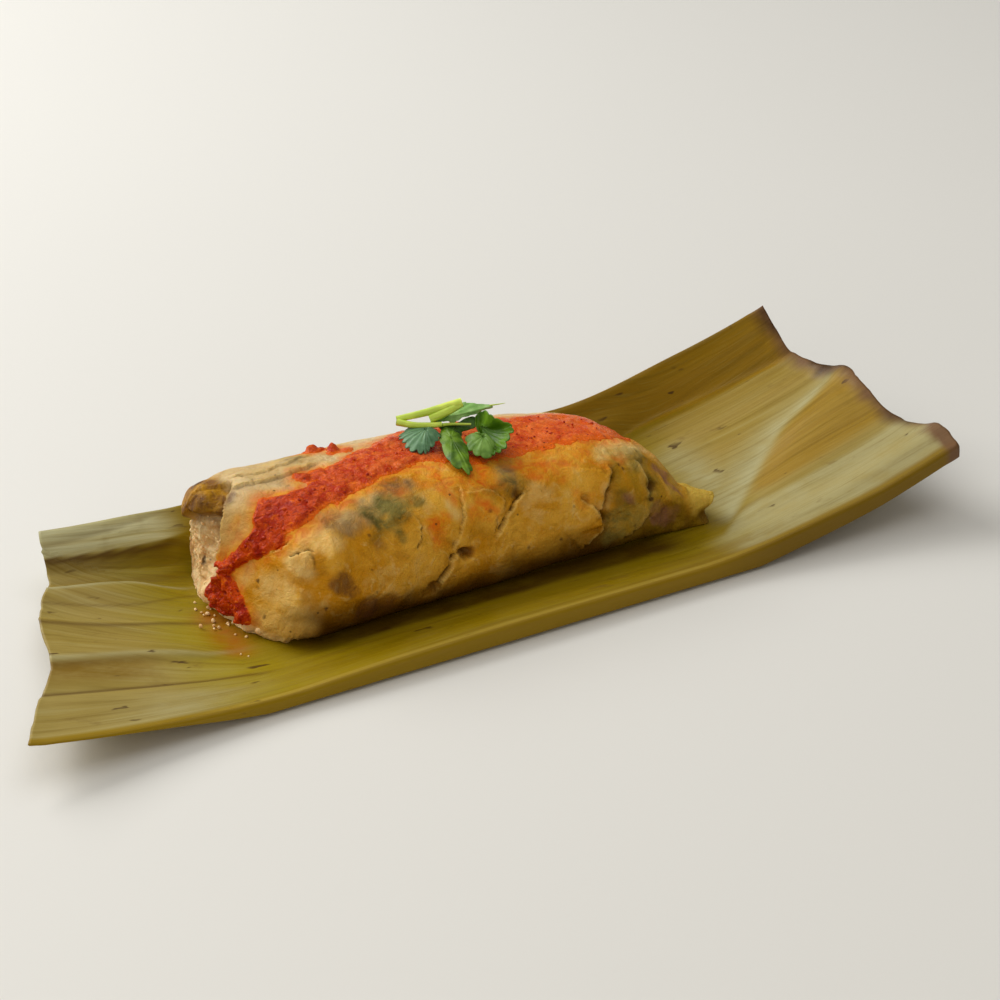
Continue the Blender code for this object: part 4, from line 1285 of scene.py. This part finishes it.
def salsa_finish(look):
    """Red where the salsa is thick, pink and orange where it is thin, with pulp, seeds and painted glints.
    """
    r = Recipe("tomato salsa")
    pulp = r.noise(700.0, 5.0, 0.65, None, 0.5)
    fine = r.noise(800.0, 3.0, 0.6, r.stretched((0.6, 1.0, 1.0)), 0.8)
    broad = r.noise(190.0, 4.0, 0.6, None, 0.8)
    red = r.blend(broad, look.salsa_red, look.salsa_orange, 0.36, 0.64)
    pink = r.blend(broad, (214, 64, 14), look.salsa_pink, 0.36, 0.64)
    colour = r.mix(r.value("tone"), pink, red)
    colour = r.over(colour, (240, 104, 0), r.band(pulp, 0.54, 0.74, 0.0, 0.6))
    colour = r.over(colour, (228, 100, 0), r.band(r.value("height"), 0.05, 0.5, 0.9, 0.0))
    colour = r.over(colour, (150, 26, 0), r.band(pulp, 0.28, 0.46, 0.5, 0.0))
    # Painted glints: bright orange flecks for the wet salsa's highlights.
    colour = r.over(colour, (255, 132, 20), r.band(fine, 0.58, 0.68, 0.0, 0.55))
    colour = r.over(colour, (118, 18, 0), "tone", r.band(fine, 0.34, 0.46, 0.6, 0.0))
    specks = r.grains(420.0)
    sparse = r.band(r.noise(240.0, 1.0), 0.52, 0.6)
    colour = r.over(colour, (70, 20, 4), r.band(specks, 0.08, 0.18, 0.8, 0.0), sparse)
    rough = r.band(pulp, 0.3, 0.7, 0.12, 0.3)
    normal = r.bump(fine, 0.0006, 0.7)
    normal = r.bump(pulp, 0.0006, 0.8, normal)
    return r.finish(colour, rough, normal, Specular_IOR_Level=0.12)


# ------------------------------------------------------------ crumbs and pulp


def lump_shape(seed, roughness):
    """A small uneven ball of unit size."""
    rings, around = 7, 10
    lat = np.linspace(0, math.pi, rings + 2)[1:-1]
    lon = np.linspace(0, 2 * math.pi, around, endpoint=False)
    a, b = np.meshgrid(lat, lon, indexing="ij")
    ball = np.stack([np.sin(a) * np.cos(b), np.sin(a) * np.sin(b), np.cos(a)], -1)
    points = np.concatenate([ball.reshape(-1, 3), [[0, 0, 1.0], [0, 0, -1.0]]])
    points = points * (1 + roughness * layers(points, 0.9, seed, 2))[:, None]
    return points, quads(rings, around, wraps=True).tolist() + end_caps(rings, around)


def scatter(name, spots, sizes, material, seed, roughness=0.45):
    """One piece of many small lumps, each on a spot and of its own size and shape."""
    rng = np.random.default_rng(seed)
    points, faces, start = [], [], 0
    for number, (spot, size) in enumerate(zip(spots, sizes)):
        shape, lump_faces = lump_shape(seed + number % 17, roughness)
        spin = rng.uniform(0, 2 * math.pi)
        c, s = math.cos(spin), math.sin(spin)
        turn = np.array([[c, -s, 0], [s, c, 0], [0, 0, 1]])
        squash = rng.uniform(0.7, 1.2, 3)
        points.append(shape @ turn.T * squash * size + spot)
        faces += [[n + start for n in f] for f in lump_faces]
        start += len(shape)
    return make_piece(name, np.concatenate(points), faces, material)


def scatter_crumbs(look):
    """Crumbs that cling to the open end's face, and loose ones fallen on the leaf before it."""
    clinging, fallen = 90, 26
    _, grid, facing, marks = masa_body()
    rng = np.random.default_rng(5)
    share = marks["open_end"].ravel()
    points, normals = grid.reshape(-1, 3), facing.reshape(-1, 3)
    wanted = np.where((share > 0.6) & (points[:, 2] > 2.0))[0]
    chosen = rng.choice(wanted, clinging, replace=False)
    sizes = rng.uniform(0.35, 0.95, len(chosen))
    spots = points[chosen] - normals[chosen] * (0.25 * sizes[:, None])
    loose_x = rng.normal(MASA_LEFT, 3.0, fallen)
    loose_y = rng.normal(0.0, 8.0, fallen)
    loose_size = rng.uniform(0.25, 0.6, fallen)
    loose = np.stack([loose_x, loose_y, leaf_top(loose_x, loose_y) + 0.6 * loose_size], -1)
    spots, sizes = np.concatenate([spots, loose]), np.concatenate([sizes, loose_size])
    r = Recipe("masa crumbs")
    mottle = r.noise(400.0, 3.0)
    colour = r.blend(mottle, look.masa_inside, (232, 186, 126))
    bumps = r.bump(mottle, 0.0004, 0.5)
    material = r.finish(
        colour, 0.5, bumps, Subsurface_Weight=0.1, Subsurface_Radius=(0.003, 0.0015, 0.0008),
        Specular_IOR_Level=0.15,
    )
    return scatter("masa_crumbs", spots, sizes, material, 7)


def scatter_pulp(look):
    """Small lumps that stand in the thick salsa, larger down the open end."""
    lumps = 110
    spread = bpy.data.objects["salsa_spread"].data
    count = len(spread.vertices)
    points = np.empty(count * 3)
    spread.vertices.foreach_get("co", points)
    points = points.reshape(-1, 3) / MM + LAYOUT_MIDDLE
    height, edge = np.empty(count), np.empty(count)
    spread.attributes["height"].data.foreach_get("value", height)
    spread.attributes["edge"].data.foreach_get("value", edge)
    rng = np.random.default_rng(9)
    upper = np.where((height > 0.35) & (edge > 0.6) & (np.arange(count) < count // 2))[0]
    chosen = rng.choice(upper, lumps, replace=False)
    sizes = rng.uniform(0.2, 0.5, len(chosen)) * np.where(points[chosen, 0] < -60, 1.35, 1.0)
    r = Recipe("salsa pulp")
    tone = r.noise(260.0, 3.0)
    colour = r.blend(tone, look.salsa_red, look.salsa_orange)
    material = r.finish(colour, 0.25, None, Specular_IOR_Level=0.25)
    return scatter("salsa_pulp", points[chosen], sizes, material, 13, 0.5)


# ------------------------------------------------------------ the coriander


def bed_height():
    """A function that gives the height of the food at a place."""
    graph = bpy.context.evaluated_depsgraph_get()
    trees = [BVHTree.FromObject(bpy.data.objects[name], graph) for name in ("masa_body", "salsa_spread")]

    def height(x, y):
        spot = (Vector((x, y, 100.0)) - Vector(LAYOUT_MIDDLE)) * MM
        hits = [tree.ray_cast(spot, Vector((0, 0, -1)))[0] for tree in trees]
        return max(hit.z / MM for hit in hits if hit is not None)

    return height


# Each leaflet: its middle and its rim, teeth round the rim and their depth, and how much it cups.
LEAFLETS = {
    "left": dict(
        middle=(-5.5, 13.2, 40.4), teeth=17, bite=0.17, cup=0.6,
        rim=((-2.5, 9.5, 39.5), (-3, 12.5, 40), (-4.5, 16.5, 40), (-9, 18, 39.5), (-13.5, 16, 38.5),
             (-13.5, 13.5, 38), (-13.5, 9.5, 37), (-10.5, 5.5, 36.8), (-8, 6, 37), (-4, 8, 38.5)),
    ),
    "back": dict(
        middle=(2.0, 14.6, 42), teeth=13, bite=0.08, cup=-0.3,
        rim=((17, 11.5, 43.5), (12, 15, 44), (9.5, 17, 44), (4, 17.5, 43), (1, 17, 42), (-3.5, 15, 41),
             (-1, 14.5, 40.5), (1.5, 14.5, 40.5), (4.5, 13.5, 40), (7, 13.5, 41), (10.5, 13, 41.5),
             (14, 12.6, 42)),
    ),
    "big": dict(
        middle=(10.6, 8.6, 39.6), teeth=13, bite=0.13, cup=-1.4,
        rim=((13, 11.5, 43), (13, 7, 43.5), (14, 4, 43), (16.5, 1, 42), (16.5, -1, 41), (14.5, -2.5, 40),
             (12, -5, 38.5), (9.5, -5.5, 37.5), (7.5, -4.6, 37), (8, 0.5, 37), (9, 6, 38), (10.5, 12, 40.5)),
    ),
    "curl": dict(
        middle=(8.0, 2.0, 39.4), teeth=9, bite=0.14, cup=0.8,
        rim=((9, -3, 37), (7.5, -5, 36), (4, -3.5, 36), (2.8, -1, 36.4), (2.3, 1.5, 37), (3.5, 5.5, 38),
             (5.5, 6.5, 39), (7, 4, 39.5), (9.5, 2.5, 39.5), (10, -1, 38.5)),
    ),
    "down": dict(
        middle=(-0.6, 6.4, 39.4), teeth=11, bite=0.1, cup=0.4,
        rim=((-2, 11.5, 39), (-4.5, 5.5, 38), (-6, -3, 36.5), (-4, -6.5, 35.5), (-2.5, -9, 34.8),
             (-0.5, -7, 35), (0.5, -3, 35.8), (2.5, 1, 36.8), (3, 5.5, 38), (3, 8, 39),
             (2, 10, 39.6), (0.5, 12, 40)),
    ),
    # A leaflet part under the others; its dark green is painted shade.
    "under": dict(
        middle=(3.5, 12, 39.4), teeth=8, bite=0.08, cup=0.2,
        rim=((-1, 15, 40), (1.5, 14.5, 40), (4.5, 13.5, 39.6), (10.5, 13.5, 40.6), (10.5, 11, 39.6),
             (8.5, 9.5, 38.6), (5.5, 10, 38.4), (3.5, 8, 38), (1, 10, 38.6), (-0.5, 12, 39.2)),
    ),
}


def leaflet_grid(shape, height):
    """The leaflet's upper face as rings out to its toothed rim, with its vein marks."""
    rings, spokes = 22, 150
    middle = np.array(shape["middle"], float)
    count = len(shape["rim"])
    wrapped = [(n + turn * count, knot) for turn in (-1, 0, 1) for n, knot in enumerate(shape["rim"])]
    t = np.linspace(0, count, spokes, endpoint=False)
    line = np.stack([through([(n, knot[k]) for n, knot in wrapped], t) for k in range(3)], -1)
    around = t / count
    tooth = np.abs(np.sin(math.pi * shape["teeth"] * around + 0.6 * np.sin(9 * around))) ** 0.6
    away = line - middle
    line = middle + away * (1 - shape["bite"] * (1 - tooth))[:, None]
    out = np.linspace(0.03, 1, rings)[:, None] ** 0.85
    points = middle + (line - middle)[None] * out[..., None]
    points[..., 2] += shape["cup"] * 4 * out * (1 - out)
    veins = 0.5 + 0.5 * np.cos(2 * math.pi * (shape["teeth"] // 2 + 1) * around)[None]
    vein = np.clip(veins**12 * (1.1 - out), 0, 1)
    points[..., 2] += (0.22 * layers(points, 2.6, 611, 2) - 0.12 * vein) * np.minimum(3 * out, 1)
    points[..., 2] += 0.12 * out * np.cos(2 * math.pi * shape["teeth"] * around)[None]
    bed = np.array([[height(x, y) for x, y, _ in row] for row in points])
    points[..., 2] = np.maximum(points[..., 2], bed + LEAFLET_GAP)
    return points, vein, out * np.ones_like(vein)


def make_leaflets():
    """The sprig's leaflets, each a thin closed piece that rests over the food."""
    height = bed_height()
    for name, shape in LEAFLETS.items():
        grid, veins, out = leaflet_grid(shape, height)
        rows, columns = grid.shape[:2]
        normal = grid_normals(grid, True)
        normal *= np.sign(normal[rows // 2, :, 2].mean())
        under = grid - LEAFLET_SHEET * normal
        hub = grid[0].mean(0)
        top = np.concatenate([grid.reshape(-1, 3), hub[None]])
        below = np.concatenate([under.reshape(-1, 3), hub[None] - [[0, 0, LEAFLET_SHEET]]])
        faces = quads(rows, columns, wraps=True)
        spun = np.cross(grid[1, 0] - grid[0, 0], grid[0, 1] - grid[0, 0])[2]
        if spun > 0:
            faces = faces[:, ::-1]
        rims = [[rows * columns, j, (j + 1) % columns] for j in range(columns)]
        if spun < 0:
            rims = [face[::-1] for face in rims]
        points, faces = leaflet_skin(top, below, faces.tolist() + rims)
        values = {"vein": np.append(veins.ravel(), 0.3), "out": np.append(out.ravel(), 0.0)}
        values = {key: np.concatenate([m, m]) for key, m in values.items()}
        node = "coriander_sprig" if name == "left" else None
        material = coriander_finish(name)
        make_piece("coriander_" + name, points, faces, material, node, values)


def leaflet_skin(top, below, faces):
    """A closed body from upper faces of any corner count, their lower twins and the rim."""
    count = len(top)
    sides = {(a, b) for face in faces for a, b in zip(face, face[1:] + face[:1])}
    rim = [(b, a, a + count, b + count) for a, b in sides if (b, a) not in sides]
    every = faces + [[n + count for n in face[::-1]] for face in faces] + sorted(rim)
    return np.concatenate([top, below]), every


def coriander_finish(name):
    """The green of one leaflet, paler on its veins."""
    tones = {
        "left": ((108, 150, 108), (70, 112, 72)),
        # The back leaflet's pale bluish green is partly painted sheen.
        "back": ((184, 220, 144), (130, 180, 90)),
        "big": ((104, 148, 8), (62, 104, 0)),
        "curl": ((118, 158, 62), (80, 120, 26)),
        "down": ((110, 148, 26), (62, 98, 2)),
        # The under leaflet's dark greens are painted shade.
        "under": ((60, 100, 4), (34, 64, 0)),
    }
    light, deep = tones[name]
    r = Recipe("coriander " + name)
    mottle = r.noise(220.0, 3.0)
    colour = r.blend(mottle, light, deep)
    colour = r.over(colour, (138, 168, 84), r.band(r.value("vein"), 0.2, 0.9, 0.0, 0.4))
    colour = r.over(colour, deep, r.band(r.value("out"), 0.93, 1.0, 0.0, 0.3))
    normal = r.bump(r.noise(1500.0, 2.0), 0.0002, 0.4)
    return r.finish(
        colour, 0.42, normal, Subsurface_Weight=0.1, Subsurface_Radius=(0.001, 0.002, 0.0005),
        Specular_IOR_Level=0.3,
    )


# Each stem: its path and its radius at either end.
STEMS = {
    "long": (((-11.6, 20.6, 41.8), (-2.5, 16.5, 44), (7, 14, 46)), 0.95, 1.25),
    "low": (((-12.0, 19.6, 41.4), (-8.5, 16.4, 41), (-4, 14, 40.8), (-0.5, 12.5, 41)), 1.1, 0.8),
    "cut": (((-3, 15.5, 42), (1, 14.2, 43.6), (7, 14, 45.4)), 1.35, 1.1),
    "twig": (((-0.5, 12.5, 40.8), (3, 12, 40.4), (8, 10, 40)), 0.55, 0.35),
    "hair": (((15.5, 12.2, 43.5), (18.5, 11, 43.8), (20, 10.5, 44)), 0.22, 0.08),
}


def make_stems(look):
    """The sprig's stems as ribbed tubes, in one piece."""
    points, faces, start, sides = [], [], 0, 16
    for path, first, last_radius in STEMS.values():
        knots = np.array(path, float)
        places = np.linspace(0, 1, len(knots))
        t = np.linspace(0, 1, 48)
        line = np.stack([through(list(zip(places, knots[:, n])), t) for n in range(3)], -1)
        tangent = np.gradient(line, axis=0)
        tangent /= np.linalg.norm(tangent, axis=-1, keepdims=True)
        side = np.cross(tangent, [0, 0, 1.0])
        side /= np.linalg.norm(side, axis=-1, keepdims=True)
        up = np.cross(side, tangent)
        turn = np.linspace(0, 2 * math.pi, sides, endpoint=False)
        radius = first + (last_radius - first) * t
        width = (1 + 0.06 * np.cos(5 * turn))[None] * (radius * (1 + 0.1 * cloud(line, 4.0, 601)))[:, None]
        ring = line[:, None] + width[..., None] * (
            np.cos(turn)[None, :, None] * side[:, None] + np.sin(turn)[None, :, None] * up[:, None]
        )
        points.append(ring.reshape(-1, 3))
        points.append(line[[0, -1]])
        faces += (quads(len(ring), sides, wraps=True) + start)[:, ::-1].tolist()
        faces += end_caps(len(ring), sides, start)
        start += len(ring) * sides + 2
    r = Recipe("coriander stem")
    tone = r.noise(120.0, 2.0)
    colour = r.blend(tone, look.stem_green, (194, 220, 76))
    material = r.finish(colour, 0.35, r.bump(r.noise(900.0, 2.0), 0.0002, 0.4), Subsurface_Weight=0.15,
                        Subsurface_Radius=(0.001, 0.0015, 0.0004))
    return make_piece("coriander_stems", np.concatenate(points), faces, material)


# ------------------------------------------------------------ the stage


def area_light(name, place, target, size, energy, colour):
    data = bpy.data.lights.new(name, "AREA")
    data.shape = "RECTANGLE"
    data.size, data.size_y = size
    data.energy = energy
    data.color = colour
    light = bpy.data.objects.new(name, data)
    light.location = place
    light.rotation_euler = (Vector(target) - Vector(place)).to_track_quat("-Z", "Y").to_euler()
    bpy.context.scene.collection.objects.link(light)


def make_stage(look):
    """The floor, the camera, three soft lights and the room's own light."""
    scene = bpy.context.scene
    mesh = bpy.data.meshes.new("floor")
    reach = 6.0
    corners = [(reach * x, reach * y, CAD_BOX[0].z) for x, y in ((-1, -1), (1, -1), (1, 1), (-1, 1))]
    mesh.from_pydata(corners, [], [(0, 1, 2, 3)])
    r = Recipe("pale floor")
    tone = r.noise(2.0, 2.0)
    mesh.materials.append(r.finish(r.mix(tone, (0.76, 0.75, 0.71, 1), (0.80, 0.79, 0.75, 1)), 0.6))
    floor = bpy.data.objects.new("floor", mesh)
    scene.collection.objects.link(floor)

    turn, tilt = math.radians(look.camera_turn), math.radians(look.camera_tilt)
    back = Vector((math.sin(turn) * math.cos(tilt), -math.cos(turn) * math.cos(tilt), math.sin(tilt)))
    target = (CAMERA_TARGET - Vector(LAYOUT_MIDDLE)) * MM
    data = bpy.data.cameras.new("camera")
    data.lens = look.camera_lens
    data.sensor_width = 36.0
    data.clip_start, data.clip_end = 0.01, 20.0
    camera = bpy.data.objects.new("camera", data)
    camera.location = target + back * look.camera_distance
    camera.rotation_euler = (-back).to_track_quat("-Z", "Y").to_euler()
    scene.collection.objects.link(camera)
    scene.camera = camera

    area_light("window", (-0.55, 1.0, 0.85), (0, 0, 0), (1.2, 0.8), 17.0, (1.0, 0.99, 0.97))
    area_light("ceiling", (0.1, 0.0, 1.3), (0, 0, 0), (1.3, 1.3), 5.5, (1.0, 0.985, 0.96))
    area_light("fill", (-0.8, -0.7, 0.5), (0, 0, 0.02), (1.0, 0.7), 2.2, (1.0, 0.9, 0.74))
    world = bpy.data.worlds.new("room")
    world.use_nodes = True
    world.node_tree.nodes["Background"].inputs["Color"].default_value = (1.0, 0.97, 0.92, 1)
    world.node_tree.nodes["Background"].inputs["Strength"].default_value = 0.24
    scene.world = world
    scene.view_settings.view_transform = "Standard"
    scene.view_settings.look = "None"


# ------------------------------------------------------------ the add-on


def colour_setting(name, meaning, default):
    description = meaning + ", as display values"
    return FloatVectorProperty(name=name, description=description, size=3, min=0, max=255, default=default)


class TamaleLook(bpy.types.PropertyGroup):
    """The colours and the camera of the tamale."""

    leaf_olive: colour_setting("Leaf olive", "Steamed leaf under the tamale", (152, 128, 0))
    leaf_deep: colour_setting("Leaf deep", "Darker streaks of the leaf", (128, 100, 0))
    leaf_damp: colour_setting("Leaf damp", "The leaf beside the tamale", (136, 114, 0))
    leaf_khaki: colour_setting("Leaf khaki", "The leaf's paler ends", (152, 130, 56))
    leaf_straw: colour_setting("Leaf straw", "Dry streaks at the leaf's ends", (164, 144, 78))
    leaf_gold: colour_setting("Leaf gold", "The raised wing of the leaf", (148, 110, 0))
    leaf_hem: colour_setting("Leaf hem", "The folded front edge", (146, 114, 0))
    masa_golden: colour_setting("Masa golden", "The masa's skin at the front", (226, 168, 54))
    masa_deep: colour_setting("Masa deep", "Deeper golden patches", (204, 138, 14))
    masa_pale: colour_setting("Masa pale", "The masa's top and back", (230, 204, 156))
    masa_inside: colour_setting("Masa inside", "The crumbly open end", (255, 226, 172))
    salsa_red: colour_setting("Salsa red", "Thick salsa", (164, 28, 0))
    salsa_orange: colour_setting("Salsa orange", "Thin salsa", (206, 68, 0))
    salsa_pink: colour_setting("Salsa pink", "Salsa smeared thin over the pale top", (246, 126, 56))
    stem_green: colour_setting("Stem green", "The sprig's stems", (240, 255, 110))
    camera_turn: FloatProperty(
        name="Camera turn", description="Degrees round the part from straight ahead", default=-28.73
    )
    camera_tilt: FloatProperty(name="Camera tilt", description="Degrees above the horizon", default=29.4)
    camera_lens: FloatProperty(
        name="Camera lens", description="Focal length in millimetres", default=81.2, min=10
    )
    camera_distance: FloatProperty(
        name="Camera distance", description="From the camera to its target", default=0.683,
        min=0.1, unit="LENGTH",
    )


class TAMALE_OT_leaf(bpy.types.Operator):
    """Lay out the banana leaf"""

    bl_idname = "tamale.leaf"
    bl_label = "Banana leaf"

    def execute(self, context):
        make_leaf(context.scene.tamale_look)
        return {"FINISHED"}


class TAMALE_OT_masa(bpy.types.Operator):
    """Shape the masa with its cracks and its open end"""

    bl_idname = "tamale.masa"
    bl_label = "Masa"

    def execute(self, context):
        make_masa(context.scene.tamale_look)
        return {"FINISHED"}


class TAMALE_OT_salsa(bpy.types.Operator):
    """Spread the salsa along the top"""

    bl_idname = "tamale.salsa"
    bl_label = "Salsa"

    def execute(self, context):
        make_salsa(context.scene.tamale_look)
        return {"FINISHED"}


class TAMALE_OT_bits(bpy.types.Operator):
    """Scatter the masa's crumbs and the salsa's pulp"""

    bl_idname = "tamale.bits"
    bl_label = "Crumbs and pulp"

    def execute(self, context):
        scatter_crumbs(context.scene.tamale_look)
        scatter_pulp(context.scene.tamale_look)
        return {"FINISHED"}


class TAMALE_OT_sprig(bpy.types.Operator):
    """Place the coriander sprig"""

    bl_idname = "tamale.sprig"
    bl_label = "Coriander sprig"

    def execute(self, context):
        make_leaflets()
        make_stems(context.scene.tamale_look)
        return {"FINISHED"}


class TAMALE_OT_stage(bpy.types.Operator):
    """Set the floor, the lights and the camera"""

    bl_idname = "tamale.stage"
    bl_label = "Stage"

    def execute(self, context):
        make_stage(context.scene.tamale_look)
        return {"FINISHED"}


OPERATORS = (
    TAMALE_OT_stage,
    TAMALE_OT_leaf,
    TAMALE_OT_masa,
    TAMALE_OT_salsa,
    TAMALE_OT_bits,
    TAMALE_OT_sprig,
)


class TAMALE_PT_panel(bpy.types.Panel):
    """The tamale's settings and makers"""

    bl_idname = "TAMALE_PT_panel"
    bl_label = "Tamale"
    bl_space_type = "VIEW_3D"
    bl_region_type = "UI"
    bl_category = "Tamale"

    def draw(self, context):
        layout = self.layout
        look = context.scene.tamale_look
        for name in TamaleLook.__annotations__:
            layout.prop(look, name)
        for operator in OPERATORS:
            layout.operator(operator.bl_idname)


CLASSES = (TamaleLook, *OPERATORS, TAMALE_PT_panel)


def register():
    for made in CLASSES:
        bpy.utils.register_class(made)
    bpy.types.Scene.tamale_look = PointerProperty(type=TamaleLook)


def unregister():
    del bpy.types.Scene.tamale_look
    for made in reversed(CLASSES):
        bpy.utils.unregister_class(made)


def main():
    register()
    bpy.ops.tamale.stage()
    bpy.ops.tamale.leaf()
    bpy.ops.tamale.masa()
    bpy.ops.tamale.salsa()
    bpy.ops.tamale.bits()
    bpy.ops.tamale.sprig()
    bpy.context.view_layer.update()


if __name__ == "__main__":
    main()
